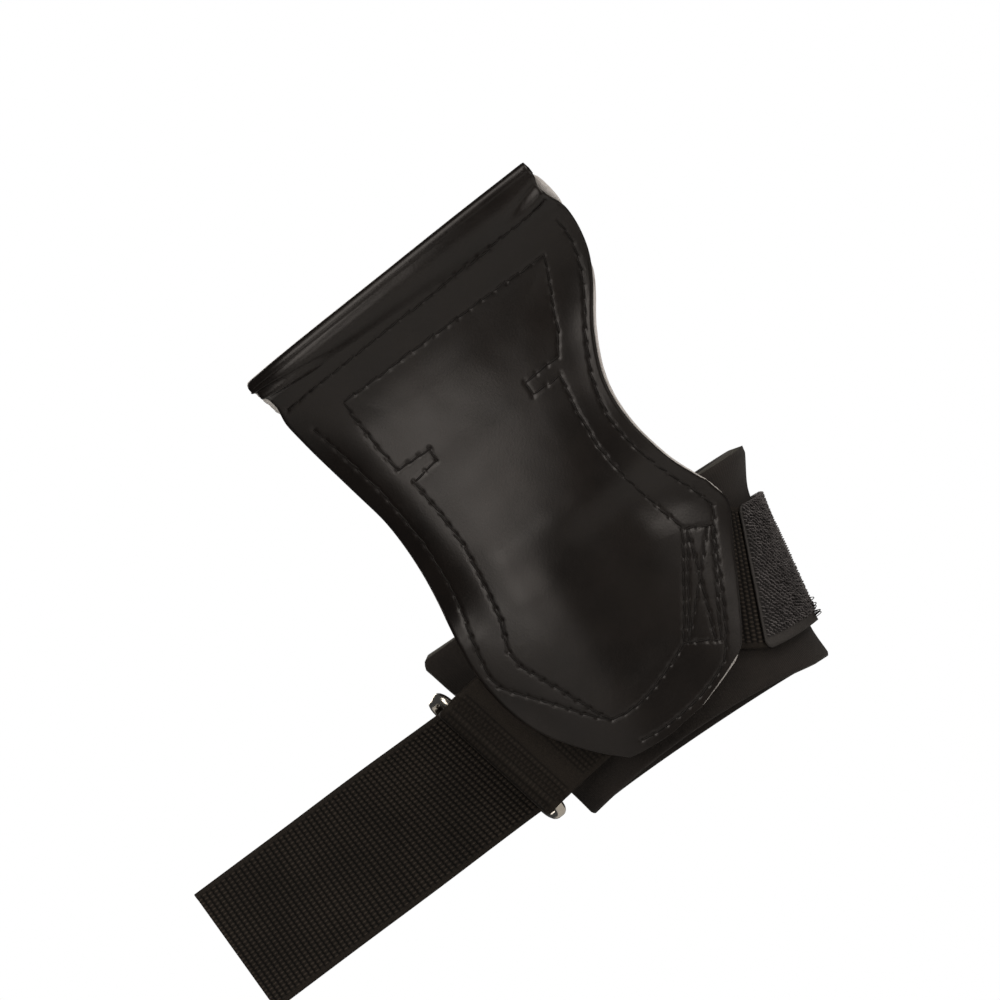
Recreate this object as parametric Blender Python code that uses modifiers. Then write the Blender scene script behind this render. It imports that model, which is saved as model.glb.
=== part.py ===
"""A palm-guard training glove for a right hand, kept in the form it has when worn.

The wrist axis is Z, with the fingers up. The palm faces -Y and the thumb side is +X.
The origin is the middle of the wrist hollow, halfway up the cuff.
Layers from the skin outwards: cuff, strap end and ring tab, suede backing, black leather.
"""

import math
from collections import namedtuple
from functools import lru_cache

import bmesh
import bpy
from mathutils import Vector

MM = 0.001

# Gaps that sewn or resting layers keep to each other.
LAYER_GAP = 0.35 * MM
WEBBING_GAP = 0.6 * MM

# The wrist that the cuff is cut for, and the padded cuff.
WRIST_HALF_WIDTH = 32 * MM
WRIST_HALF_DEPTH = 20 * MM
CUFF_HEIGHT = 61 * MM
CUFF_BOTTOM = -30 * MM
CUFF_WALL = 4.5 * MM
CUFF_LIP = 5.5 * MM
CUFF_CORNER = 3.5 * MM
CUFF_HEEL_RISE = 5 * MM
CUFF_FRONT_END = math.radians(-62)
CUFF_BACK_END = math.radians(246)
CUFF_STEPS_AROUND = 56
CUFF_STEPS_UP = 8

# The leather palm: its size as seen from the palm side, and its two layers.
PALM_WIDTH = 92 * MM
PALM_LENGTH = 146 * MM
PALM_HEEL = -22 * MM
PALM_DEPTH = 38 * MM
LEATHER = 1.3 * MM
BACKING = 1.1 * MM
EDGE_REVEAL = 0.7 * MM
CORNER_REVEAL = 1.8 * MM
LEFT_ROLL = 4 * MM
RIGHT_LIFT = 1 * MM
HEM_DEPTH = 12 * MM
HEM_PUFF = 0.9 * MM
HEEL_BOW = 1 * MM
HEEL_BLEND = 18 * MM
PALM_STEPS_ACROSS = 20
PALM_STEPS_UP = 28

# The elastic webbing of the strap and of the ring's tab.
STRAP_WIDTH = 38 * MM
WEBBING = 1.6 * MM
FREE_LENGTH = 85 * MM
FREE_DROP = 3.4 * MM
FREE_FORWARD = 8 * MM
FREE_TWIST = math.radians(12)
STRAP_STEPS_ROUND = 46
STRAP_STEPS_FREE = 14
STRAP_STEPS_ACROSS = 3
STRAP_LEAVES_AT = math.radians(250)

# The hook patch sewn on the outside of the strap.
PATCH = 1.5 * MM
PATCH_INSET = 0.5 * MM
PATCH_GAP = 0.45 * MM
PATCH_START = math.radians(53)
PATCH_END = math.radians(200)

# The wire ring, turned about its inner bar so that the strap can pass through it.
WIRE = 3 * MM
RING_SPACING = 10 * MM
RING_CORNER = 3.2 * MM
RING_SIDE_ROOM = 1.6 * MM
RING_LEAN = math.radians(13.7)
RING_TURN = math.radians(70)
RING_HEIGHT = -1.5 * MM
RING_FROM_CUFF = 3.6 * MM
RING_FORWARD = 6.5 * MM
TAB_FOLD = 2.6 * MM
TAB_EASE = 3 * MM
TAB_END_SHARE = -0.24
TAB_STEPS = 12

# Angles are taken round the wrist from the palm side, through the thumb side, to the back.
FRONT_REACH = math.radians(84)
LIP_FROM = math.radians(30)
LIP_FULL = math.radians(75)

# Inner half-sizes of the cuff, as shares of the wrist's, at shares of the cuff's height.
CuffRow = namedtuple("CuffRow", "height thumb_side flap little_side front back lip")
CUFF_ROWS = [
    CuffRow(0.00, 1.11, 1.19, 1.06, 1.10, 1.10, 0.00),
    CuffRow(0.16, 1.11, 1.27, 1.06, 1.12, 1.08, 0.00),
    CuffRow(0.50, 1.21, 1.48, 1.09, 1.20, 1.07, 0.00),
    CuffRow(0.82, 1.31, 1.68, 1.14, 1.30, 1.11, 0.06),
    CuffRow(1.00, 1.29, 1.67, 1.17, 1.36, 1.14, 1.00),
]

# Side edges of the palm from heel to fingers: x as shares of its width, z of its length.
EdgeRow = namedtuple("EdgeRow", "left_x left_z right_x right_z")
PALM_EDGES = [
    EdgeRow(-0.212, 0.008, 0.030, 0.009),
    EdgeRow(-0.275, 0.045, 0.140, 0.033),
    EdgeRow(-0.337, 0.089, 0.205, 0.053),
    EdgeRow(-0.389, 0.137, 0.255, 0.098),
    EdgeRow(-0.424, 0.192, 0.310, 0.161),
    EdgeRow(-0.441, 0.253, 0.374, 0.233),
    EdgeRow(-0.444, 0.315, 0.420, 0.291),
    EdgeRow(-0.434, 0.363, 0.412, 0.336),
    EdgeRow(-0.408, 0.438, 0.355, 0.425),
    EdgeRow(-0.399, 0.520, 0.325, 0.514),
    EdgeRow(-0.406, 0.603, 0.332, 0.596),
    EdgeRow(-0.433, 0.685, 0.384, 0.678),
    EdgeRow(-0.467, 0.781, 0.470, 0.767),
    EdgeRow(-0.493, 0.870, 0.506, 0.850),
    EdgeRow(-0.514, 0.921, 0.499, 0.928),
    EdgeRow(-0.520, 0.940, 0.472, 0.986),
]

# How far the palm stands in front of the wrist's axis, as shares of the palm's depth.
HandRow = namedtuple("HandRow", "height left middle right")
HAND_ROWS = [
    HandRow(0.336, 0.71, 0.95, 0.70),
    HandRow(0.459, 0.78, 0.99, 0.88),
    HandRow(0.562, 0.80, 0.97, 0.98),
    HandRow(0.664, 0.79, 0.95, 1.01),
    HandRow(0.767, 0.82, 0.99, 1.01),
    HandRow(0.870, 0.97, 1.13, 1.12),
    HandRow(0.938, 1.14, 1.29, 1.25),
    HandRow(1.000, 1.34, 1.47, 1.41),
]

# The strap on the cuff: angle in degrees, middle height as a share of its width,
# and by how many degrees its upper edge runs ahead of its lower edge.
StrapRow = namedtuple("StrapRow", "angle height ahead")
STRAP_ROWS = [
    StrapRow(20, 0.28, 28),
    StrapRow(42, 0.11, 27),
    StrapRow(53, 0.02, 24),
    StrapRow(90, 0.00, 15),
    StrapRow(135, -0.03, 8),
    StrapRow(180, -0.05, 2),
    StrapRow(225, -0.06, -3),
    StrapRow(250, -0.06, -10),
]


def smooth_step(value, start, end):
    """0 before start, 1 after end, and a smooth rise between them."""
    share = min(1.0, max(0.0, (value - start) / (end - start)))
    return share * share * (3 - 2 * share)


def read_rows(positions, values, at):
    """A smooth curve through the rows: cubic, with slopes taken from the neighbours."""
    last = len(positions) - 1
    at = min(max(at, positions[0]), positions[last])
    i = max(k for k in range(last) if positions[k] <= at)

    def slope(k):
        before, after = max(k - 1, 0), min(k + 1, last)
        return (values[after] - values[before]) / (positions[after] - positions[before])

    span = positions[i + 1] - positions[i]
    t = (at - positions[i]) / span
    return (
        values[i] * (2 * t**3 - 3 * t**2 + 1)
        + slope(i) * span * (t**3 - 2 * t**2 + t)
        + values[i + 1] * (3 * t**2 - 2 * t**3)
        + slope(i + 1) * span * (t**3 - t**2)
    )


def smooth_min(a, b, width):
    """The smaller of two values, eased over a width where they are close."""
    closeness = max(0.0, 1 - abs(a - b) / width)
    return min(a, b) - closeness**2 * width / 4


def read_table(rows, at):
    """A row of the table read between its rows, at a value of its first column."""
    columns = list(zip(*rows))
    return rows[0]._make([at] + [read_rows(columns[0], column, at) for column in columns[1:]])


@lru_cache(maxsize=None)
def cuff_row(z):
    """The cuff's row of shares at a height."""
    return read_table(CUFF_ROWS, (z - CUFF_BOTTOM) / CUFF_HEIGHT)


def inner_wrist(angle, z):
    """A point of the cuff's inner face."""
    row = cuff_row(z)
    if angle < 0:
        side = row.flap
    elif angle <= math.pi:
        side = row.thumb_side
    else:
        side = row.little_side
    facing = row.front if abs(angle) <= math.pi / 2 else row.back
    half_width = WRIST_HALF_WIDTH * side
    half_depth = WRIST_HALF_DEPTH * facing
    lip = CUFF_LIP * row.lip * smooth_step(abs(angle), LIP_FROM, LIP_FULL)
    out = Vector((math.sin(angle) / half_width, -math.cos(angle) / half_depth, 0)).normalized()
    return Vector((half_width * math.sin(angle), -half_depth * math.cos(angle), z)) + out * lip


def on_cuff(angle, z, lift):
    """A point that stands lift outside the cuff's inner face."""
    turn, rise = math.radians(0.5), 0.2 * MM
    around = inner_wrist(angle + turn, z) - inner_wrist(angle - turn, z)
    up = inner_wrist(angle, z + rise) - inner_wrist(angle, z - rise)
    return inner_wrist(angle, z) + around.cross(up).normalized() * lift


def front_of_cuff(x, z, lift):
    """The y of the surface that stands lift outside the cuff, on the palm side, at x and z."""
    height = z
    point = None
    for _ in range(3):
        low, high = -FRONT_REACH, FRONT_REACH
        for _ in range(14):
            middle = (low + high) / 2
            point = on_cuff(middle, height, lift)
            if point.x < x:
                low = middle
            else:
                high = middle
        height += z - point.z
    return point.y + max(0.0, abs(x) - abs(point.x))


STRAP_LIFT = CUFF_WALL + WEBBING_GAP
REAR_TAB_LIFT = CUFF_WALL + WEBBING_GAP + WEBBING
FRONT_TAB_LIFT = REAR_TAB_LIFT + LAYER_GAP
BACKING_OVER_STRAP = STRAP_LIFT + WEBBING + WEBBING_GAP
BACKING_OVER_TAB = FRONT_TAB_LIFT + WEBBING + WEBBING_GAP


@lru_cache(maxsize=None)
def palm_edges(v):
    """The side edges of the palm at a share of the way from heel to fingers."""
    steps = [k / (len(PALM_EDGES) - 1) for k in range(len(PALM_EDGES))]
    return EdgeRow(*(read_rows(steps, column, v) for column in zip(*PALM_EDGES)))


@lru_cache(maxsize=None)
def palm_base(u, v):
    """A point of the suede backing's hand side: u runs from left to right, v from heel to fingers."""
    edges = palm_edges(v)
    x = PALM_WIDTH * (edges.left_x + (edges.right_x - edges.left_x) * u)
    share = edges.left_z + (edges.right_z - edges.left_z) * u
    z = PALM_HEEL + PALM_LENGTH * share
    z -= HEEL_BOW * 4 * u * (1 - u) * (1 - smooth_step(v, 0, 0.25))

    row = read_table(HAND_ROWS, share)
    hand = row.left * (1 - u) * (1 - 2 * u) + row.middle * 4 * u * (1 - u) + row.right * u * (2 * u - 1)
    hand *= PALM_DEPTH
    roll_share, lift_share = 0.16, 0.12
    hand -= LEFT_ROLL * max(0.0, 1 - u / roll_share) ** 2
    hand += RIGHT_LIFT * max(0.0, 1 - (1 - u) / lift_share) ** 2

    cuff_top = CUFF_BOTTOM + CUFF_HEIGHT
    above = smooth_step(z, cuff_top - HEEL_BLEND / 4, cuff_top + HEEL_BLEND * 3 / 4)
    if above == 1:
        return Vector((x, -hand, z))
    over_strap = smooth_step(x / PALM_WIDTH, -0.16, 0.04)
    lift = BACKING_OVER_TAB + (BACKING_OVER_STRAP - BACKING_OVER_TAB) * over_strap
    heel = front_of_cuff(x, z, lift)
    if x < 0:
        inner_bar = ring_frame()[0]
        over_tab = inner_bar.y - TAB_FOLD - WEBBING - WEBBING_GAP
        heel = smooth_min(heel, over_tab, TAB_EASE)
    return Vector((x, heel * (1 - above) - hand * above, z))


def palm_frame(u, v):
    """The base point with its upward tangent and its outward normal."""
    step = 0.004
    across = palm_base(min(u + step, 1), v) - palm_base(max(u - step, 0), v)
    up = palm_base(u, min(v + step, 1)) - palm_base(u, max(v - step, 0))
    return palm_base(u, v), up.normalized(), across.cross(up).normalized()


def sheet(name, rows, thickness, material):
    """An open surface through rows of points, thickened towards its front by Solidify."""
    mesh = bpy.data.meshes.new(name)
    shape = bmesh.new()
    grid = [[shape.verts.new(point) for point in row] for row in rows]
    for lower, upper in zip(grid, grid[1:]):
        for k in range(len(lower) - 1):
            shape.faces.new((lower[k], lower[k + 1], upper[k + 1], upper[k]))
    shape.to_mesh(mesh)
    shape.free()
    mesh.shade_smooth()
    made = bpy.data.objects.new(name, mesh)
    made.data.materials.append(material)
    wall = made.modifiers.new("Wall", "SOLIDIFY")
    wall.thickness = thickness
    wall.offset = 1
    PARTS.objects.link(made)
    return made


def finish(name, colour, roughness, metallic=0.0):
    """A plain material of one colour."""
    made = bpy.data.materials.new(name)
    made.use_nodes = True
    shader = made.node_tree.nodes["Principled BSDF"]
    shader.inputs["Base Color"].default_value = (*colour, 1)
    shader.inputs["Roughness"].default_value = roughness
    shader.inputs["Metallic"].default_value = metallic
    return made


def shares(count):
    """Even shares from 0 to 1, ends included."""
    return [k / count for k in range(count + 1)]


def corner_drop(distance):
    """How much a rounded corner takes off the height at this distance from the end."""
    if distance >= CUFF_CORNER:
        return 0.0
    return CUFF_CORNER - math.sqrt(CUFF_CORNER**2 - (CUFF_CORNER - distance) ** 2)


def build_cuff():
    """The padded cuff: one band, open on the little-finger side, with its top edge turned out."""
    turn = CUFF_BACK_END - CUFF_FRONT_END
    middle = CUFF_BOTTOM + CUFF_HEIGHT / 2
    angles = [CUFF_FRONT_END + turn * share for share in shares(CUFF_STEPS_AROUND)]
    near_end = turn / CUFF_STEPS_AROUND / 4
    angles[1:1] = [CUFF_FRONT_END + near_end]
    angles[-1:-1] = [CUFF_BACK_END - near_end]
    rows = []
    for share in shares(CUFF_STEPS_UP):
        row = []
        for angle in angles:
            from_front = (inner_wrist(angle, middle) - inner_wrist(CUFF_FRONT_END, middle)).length
            from_back = (inner_wrist(angle, middle) - inner_wrist(CUFF_BACK_END, middle)).length
            drop = corner_drop(min(from_front, from_back))
            rise = CUFF_HEEL_RISE * max(0.0, math.cos(angle)) ** 2
            low, high = CUFF_BOTTOM + drop + rise, CUFF_BOTTOM + CUFF_HEIGHT - drop
            row.append(inner_wrist(angle, low + (high - low) * share))
        rows.append(row)
    return sheet("wrist_cuff", rows, CUFF_WALL, finish("Cuff foam", (0.012, 0.012, 0.013), 0.8))


def build_backing():
    """The pale suede layer on the hand side, whose raw edge shows past the black leather."""
    rows = []
    for v in shares(PALM_STEPS_UP):
        rows.append([palm_base(u, v) for u in shares(PALM_STEPS_ACROSS)])
    return sheet("palm_backing", rows, BACKING, finish("Suede", (0.55, 0.50, 0.44), 0.95))


def leather_inset(v):
    """How far the black leather stays inside the backing's side edges."""
    corner = smooth_step(v, 0.90, 0.94) * (1 - smooth_step(v, 0.965, 0.99))
    return EDGE_REVEAL + CORNER_REVEAL * corner


def leather_across(u, v):
    """The u of the base surface that a share of the black leather's own width falls on."""
    width = (palm_base(1, v) - palm_base(0, v)).length
    inset = leather_inset(v) / width
    return inset + (1 - 2 * inset) * u


def build_leather():
    """The black palm leather, turned over the finger edge and down behind it as a hem."""
    heel = EDGE_REVEAL / PALM_LENGTH
    across = shares(PALM_STEPS_ACROSS)
    front_lift = BACKING + LAYER_GAP
    fold = BACKING / 2 + LAYER_GAP
    rows = []
    for share in shares(PALM_STEPS_UP):
        v = heel + (1 - heel) * share
        row = []
        for u in across:
            base, _, out = palm_frame(leather_across(u, v), v)
            below = (1 - v) * PALM_LENGTH
            puff = HEM_PUFF * math.sin(math.pi * min(1.0, below / HEM_DEPTH))
            row.append(base + out * (front_lift + puff))
        rows.append(row)
    fold_steps = 6
    for k in range(1, fold_steps):
        turn = math.pi * k / fold_steps
        row = []
        for u in across:
            base, up, out = palm_frame(leather_across(u, 1), 1)
            row.append(base + out * (BACKING / 2 + fold * math.cos(turn)) + up * fold * math.sin(turn))
        rows.append(row)
    return_steps = 3
    for share in shares(return_steps):
        v = 1 - share * HEM_DEPTH / PALM_LENGTH
        row = []
        for u in across:
            base, _, out = palm_frame(leather_across(u, v), v)
            row.append(base - out * LAYER_GAP)
        rows.append(row)
    return sheet("palm_leather", rows, LEATHER, finish("Black leather", (0.013, 0.012, 0.011), 0.38))


def strap_rib(angle, lift, half_width):
    """One line of points across the strap where it lies on the cuff, from its lower edge up."""
    row = read_table(STRAP_ROWS, math.degrees(angle))
    ahead = math.radians(row.ahead) / 2
    height = STRAP_WIDTH * row.height
    shift = (on_cuff(angle + ahead, height, lift) - on_cuff(angle - ahead, height, lift)).length / 2
    rise = math.sqrt(max(half_width**2 - shift**2, (half_width / 2) ** 2))
    points = []
    for share in shares(STRAP_STEPS_ACROSS):
        side = 2 * share - 1
        points.append(on_cuff(angle + side * ahead, height + side * rise, lift))
    return points


@lru_cache(maxsize=None)
def ring_frame():
    """The middle of the ring's inner bar, and the ring's directions: up, left, back and across it."""
    up = Vector((-math.sin(RING_LEAN), 0, math.cos(RING_LEAN)))
    left = Vector((-math.cos(RING_LEAN), 0, -math.sin(RING_LEAN)))
    back = Vector((0, 1, 0))
    corner = on_cuff(CUFF_FRONT_END, RING_HEIGHT, CUFF_WALL)
    inner_bar = Vector((corner.x - RING_FROM_CUFF, corner.y - RING_FORWARD, RING_HEIGHT))
    across = left * math.cos(RING_TURN) + back * math.sin(RING_TURN)
    return inner_bar, up, left, back, across


def line_across(middle, direction, half_width):
    """Points across the strap on a straight line, from its lower edge up."""
    return [middle + direction * half_width * (2 * share - 1) for share in shares(STRAP_STEPS_ACROSS)]


def mix_lines(first, second, share):
    """A line of points between two others."""
    return [a.lerp(b, share) for a, b in zip(first, second)]


def strap_ribs():
    """The strap's inner face as lines of points across it, from its sewn end to its free end."""
    half = STRAP_WIDTH / 2
    first = math.radians(STRAP_ROWS[0].angle)
    ribs = []
    for share in shares(STRAP_STEPS_ROUND):
        ribs.append(strap_rib(first + (STRAP_LEAVES_AT - first) * share, STRAP_LIFT, half))

    inner_bar, up, left, back, across = ring_frame()
    outer_bar = inner_bar + across * RING_SPACING
    radius = WIRE / 2 + LAYER_GAP + WEBBING
    away = (ribs[-1][0] + ribs[-1][-1]) / 2 - outer_bar
    away = Vector((-away.dot(left), -away.dot(back)))
    arrives = math.atan2(away.y, away.x) + math.acos(radius / away.length)
    bend = []
    bend_steps = 8
    for share in shares(bend_steps):
        angle = arrives + (math.pi / 2 - arrives) * share
        middle = outer_bar - (left * math.cos(angle) + back * math.sin(angle)) * radius
        bend.append(line_across(middle, up, half))
    taut_steps = 5
    last = ribs[-1]
    for k in range(1, taut_steps):
        ribs.append(mix_lines(last, bend[0], k / taut_steps))
    ribs += bend

    start = outer_bar - back * radius
    end_up = Vector((-math.sin(math.radians(2.8)), math.sin(FREE_TWIST), math.cos(FREE_TWIST))).normalized()
    for share in shares(STRAP_STEPS_FREE)[1:]:
        wave = math.sin(math.pi * share) * FREE_FORWARD / 4
        middle = start + Vector((-share * FREE_LENGTH, -share**1.5 * FREE_FORWARD + wave, -share * FREE_DROP))
        turned = up.lerp(end_up, smooth_step(share, 0, 0.7)).normalized()
        ribs.append(line_across(middle, turned, half))
    return ribs


def build_strap():
    """The elastic strap: sewn under the leather on the thumb side, round the back, through the ring."""
    ribs = strap_ribs()
    rows = [list(row) for row in zip(*ribs)]
    return sheet("elastic_strap", rows, WEBBING, finish("Webbing", (0.015, 0.014, 0.014), 0.85))


def build_patch():
    """The hook patch on the outside of the strap, at the back of the wrist."""
    lift = STRAP_LIFT + WEBBING + PATCH_GAP
    steps = 29
    ribs = []
    for share in shares(steps):
        angle = PATCH_START + (PATCH_END - PATCH_START) * share
        ribs.append(strap_rib(angle, lift, STRAP_WIDTH / 2 - PATCH_INSET))
    rows = [list(row) for row in zip(*ribs)]
    return sheet("hook_patch", rows, PATCH, finish("Hook tape", (0.03, 0.03, 0.033), 0.6))


def build_ring():
    """The rectangular wire ring with round corners."""
    inner_bar, up, _, _, across = ring_frame()
    half_long = STRAP_WIDTH / 2 + RING_SIDE_ROOM + WIRE / 2
    middle = inner_bar + across * RING_SPACING / 2
    corner_steps = 5
    curve = bpy.data.curves.new("wire_ring", "CURVE")
    curve.dimensions = "3D"
    curve.bevel_depth = WIRE / 2
    curve.bevel_resolution = 2
    spline = curve.splines.new("POLY")
    points = []
    for quarter in range(4):
        along = 1 if quarter in (0, 1) else -1
        aside = 1 if quarter in (0, 3) else -1
        centre = middle + up * along * (half_long - RING_CORNER) + across * aside * (RING_SPACING / 2 - RING_CORNER)
        for k in range(corner_steps + 1):
            turn = math.pi / 2 * (quarter + k / corner_steps)
            points.append(centre + (across * math.cos(turn) + up * math.sin(turn)) * RING_CORNER)
    spline.points.add(len(points) - 1)
    for spot, point in zip(spline.points, points):
        spot.co = (*point, 1)
    spline.use_cyclic_u = True
    made = bpy.data.objects.new("wire_ring", curve)
    curve.materials.append(finish("Nickel", (0.75, 0.74, 0.70), 0.18, 1.0))
    PARTS.objects.link(made)
    return made


def tab_leg(lift, ring_side, share):
    """A line of points across one leg of the tab: share 0 is its sewn end and share 1 is at the ring."""
    inner_bar, up, _, back, _ = ring_frame()
    sewn_lean = math.radians(11)
    sewn_x, sewn_height = PALM_WIDTH * TAB_END_SHARE, 3 * MM
    half = STRAP_WIDTH / 2
    at_ring = inner_bar + back * TAB_FOLD * ring_side
    lean = sewn_lean + (RING_LEAN - sewn_lean) * share
    middle_x = sewn_x + (at_ring.x - sewn_x) * share
    middle_z = sewn_height + (at_ring.z - sewn_height) * share
    points = []
    for across in shares(STRAP_STEPS_ACROSS):
        side = half * (2 * across - 1)
        x, z = middle_x - side * math.sin(lean), middle_z + side * math.cos(lean)
        on_surface = front_of_cuff(x, z, lift)
        points.append(Vector((x, smooth_min(on_surface, at_ring.y, TAB_EASE), z)))
    return points


def build_tab():
    """The webbing tab: folded round the ring's inner bar, both ends sewn under the leather."""
    inner_bar, up, left, back, _ = ring_frame()
    ribs = [tab_leg(REAR_TAB_LIFT, 1, share) for share in shares(TAB_STEPS)]
    fold_steps = 8
    for k in range(1, fold_steps):
        turn = math.pi * k / fold_steps
        middle = inner_bar + (back * math.cos(turn) + left * math.sin(turn)) * TAB_FOLD
        ribs.append(line_across(middle, up, STRAP_WIDTH / 2))
    ribs += [tab_leg(FRONT_TAB_LIFT, -1, share) for share in reversed(shares(TAB_STEPS))]
    rows = [list(row) for row in zip(*ribs)]
    return sheet("ring_tab", rows, WEBBING, finish("Tab webbing", (0.015, 0.014, 0.014), 0.85))


def main():
    for old in list(bpy.data.objects):
        bpy.data.objects.remove(old)
    bpy.context.scene.collection.children.link(PARTS)
    build_cuff()
    build_strap()
    build_patch()
    build_ring()
    build_tab()
    build_backing()
    build_leather()


PARTS = bpy.data.collections.new("Training glove")
main()
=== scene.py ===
"""Looks of the palm-guard training glove: black leather, suede, foam cuff, webbing, hook tape and ring.

The surfaces are those of the CAD solids, worked out again on fine grids, so that each piece lies on its
solid. Everything is in metres. The wrist axis is Z, the palm faces -Y and the thumb side is +X.
"""

import math

import bmesh
import bpy
import numpy as np
from mathutils import Matrix, Vector


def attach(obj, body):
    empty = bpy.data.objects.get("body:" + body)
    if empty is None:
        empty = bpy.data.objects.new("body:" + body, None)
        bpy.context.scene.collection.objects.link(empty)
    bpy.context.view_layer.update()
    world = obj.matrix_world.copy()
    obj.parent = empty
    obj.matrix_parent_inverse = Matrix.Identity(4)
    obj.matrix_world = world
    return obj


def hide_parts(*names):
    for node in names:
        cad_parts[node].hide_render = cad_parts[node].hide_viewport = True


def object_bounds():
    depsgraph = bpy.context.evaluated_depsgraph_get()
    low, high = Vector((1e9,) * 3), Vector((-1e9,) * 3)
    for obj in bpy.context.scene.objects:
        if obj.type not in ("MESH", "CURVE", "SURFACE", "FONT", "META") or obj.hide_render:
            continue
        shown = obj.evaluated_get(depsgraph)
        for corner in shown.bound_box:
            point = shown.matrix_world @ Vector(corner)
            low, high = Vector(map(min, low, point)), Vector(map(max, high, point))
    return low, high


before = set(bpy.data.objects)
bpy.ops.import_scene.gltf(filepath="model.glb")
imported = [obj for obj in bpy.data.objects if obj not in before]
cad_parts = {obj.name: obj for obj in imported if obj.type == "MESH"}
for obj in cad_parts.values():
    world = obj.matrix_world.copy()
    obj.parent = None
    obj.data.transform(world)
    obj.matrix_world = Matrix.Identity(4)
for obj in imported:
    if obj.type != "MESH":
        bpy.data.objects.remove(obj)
cad_box = [list(corner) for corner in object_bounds()]

MM = 0.001

# Sizes of the solids, as the CAD has them.
WRIST_HALF_WIDTH = 32 * MM
WRIST_HALF_DEPTH = 20 * MM
CUFF_HEIGHT = 61 * MM
CUFF_BOTTOM = -30 * MM
CUFF_WALL = 4.5 * MM
CUFF_LIP = 6.6 * MM
CUFF_CORNER = 3.5 * MM
CUFF_HEEL_RISE = 5 * MM
CUFF_FRONT_END = math.radians(-62)
CUFF_BACK_END = math.radians(246)
LIP_FROM = math.radians(30)
LIP_FULL = math.radians(75)
FRONT_REACH = math.radians(84)
LAYER_GAP = 0.35 * MM
WEBBING_GAP = 0.6 * MM
PALM_WIDTH = 92 * MM
PALM_LENGTH = 146 * MM
PALM_HEEL = -22 * MM
PALM_DEPTH = 38 * MM
LEATHER = 1.3 * MM
BACKING = 1.1 * MM
EDGE_REVEAL = 0.7 * MM
CORNER_REVEAL = 1.8 * MM
HEEL_REVEAL = 1.7 * MM
LEFT_ROLL = 4 * MM
ROLL_SHARE = 0.16
RIGHT_LIFT = 1 * MM
LIFT_SHARE = 0.12
HEM_DEPTH = 12 * MM
HEM_PUFF = 0.9 * MM
HEEL_BOW = 1 * MM
HEEL_BLEND = 18 * MM
TAB_TO_STRAP = (-0.16, 0.04)
STRAP_WIDTH = 38 * MM
WEBBING = 1.6 * MM
FREE_LENGTH = 85 * MM
FREE_DROP = 3.4 * MM
FREE_FORWARD = 8 * MM
FREE_TWIST = math.radians(12)
FREE_LEAN = math.radians(2.8)
STRAP_LEAVES_AT = math.radians(250)
PATCH_GAP = 0.2 * MM
PATCH_START = math.radians(50)
PATCH_END = math.radians(200)
WIRE = 3 * MM
RING_SPACING = 10 * MM
RING_CORNER = 3.2 * MM
RING_SIDE_ROOM = 1.6 * MM
RING_LEAN = math.radians(13.7)
RING_TURN = math.radians(70)
RING_HEIGHT = -1.5 * MM
RING_FROM_CUFF = 3.6 * MM
RING_FORWARD = 6.5 * MM
TAB_FOLD = 2.6 * MM
TAB_EASE = 3 * MM
TAB_END = -0.24 * PALM_WIDTH
TAB_END_HEIGHT = 3 * MM
TAB_END_LEAN = math.radians(11)

# Cuff sections: height, thumb side, flap, little side, front, back, lip.
CUFF_ROWS = [
    (0.00, 1.11, 1.19, 1.06, 1.10, 1.10, 0.00),
    (0.16, 1.11, 1.27, 1.06, 1.12, 1.08, 0.00),
    (0.50, 1.21, 1.48, 1.09, 1.20, 1.07, 0.00),
    (0.82, 1.31, 1.68, 1.14, 1.30, 1.11, 0.06),
    (1.00, 1.29, 1.67, 1.17, 1.36, 1.14, 1.00),
]

# Side edges of the palm from heel to fingers: left x, left z, right x, right z.
PALM_EDGES = [
    (-0.212, 0.008, 0.030, 0.009),
    (-0.275, 0.045, 0.140, 0.033),
    (-0.337, 0.089, 0.205, 0.053),
    (-0.389, 0.137, 0.255, 0.098),
    (-0.424, 0.192, 0.310, 0.161),
    (-0.441, 0.253, 0.374, 0.233),
    (-0.444, 0.315, 0.420, 0.291),
    (-0.434, 0.363, 0.412, 0.336),
    (-0.408, 0.438, 0.355, 0.425),
    (-0.399, 0.520, 0.325, 0.514),
    (-0.406, 0.603, 0.332, 0.596),
    (-0.433, 0.685, 0.384, 0.678),
    (-0.467, 0.781, 0.470, 0.767),
    (-0.493, 0.870, 0.506, 0.850),
    (-0.514, 0.921, 0.499, 0.928),
    (-0.520, 0.940, 0.472, 0.986),
]

# How far the palm stands in front of the axis: height, left, middle, right.
HAND_ROWS = [
    (0.336, 0.71, 0.95, 0.70),
    (0.459, 0.78, 0.99, 0.88),
    (0.562, 0.80, 0.97, 0.98),
    (0.664, 0.79, 0.95, 1.01),
    (0.767, 0.82, 0.99, 1.01),
    (0.870, 0.97, 1.13, 1.12),
    (0.938, 1.14, 1.29, 1.25),
    (1.000, 1.34, 1.47, 1.41),
]

# The strap on the cuff: angle in degrees, middle height, degrees that its top runs ahead.
STRAP_ROWS = [
    (20, 0.28, 28),
    (42, 0.10, 23),
    (53, 0.01, 20),
    (90, -0.01, 13),
    (135, -0.03, 8),
    (180, -0.05, 2),
    (225, -0.06, -3),
    (250, -0.06, -10),
]

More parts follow.
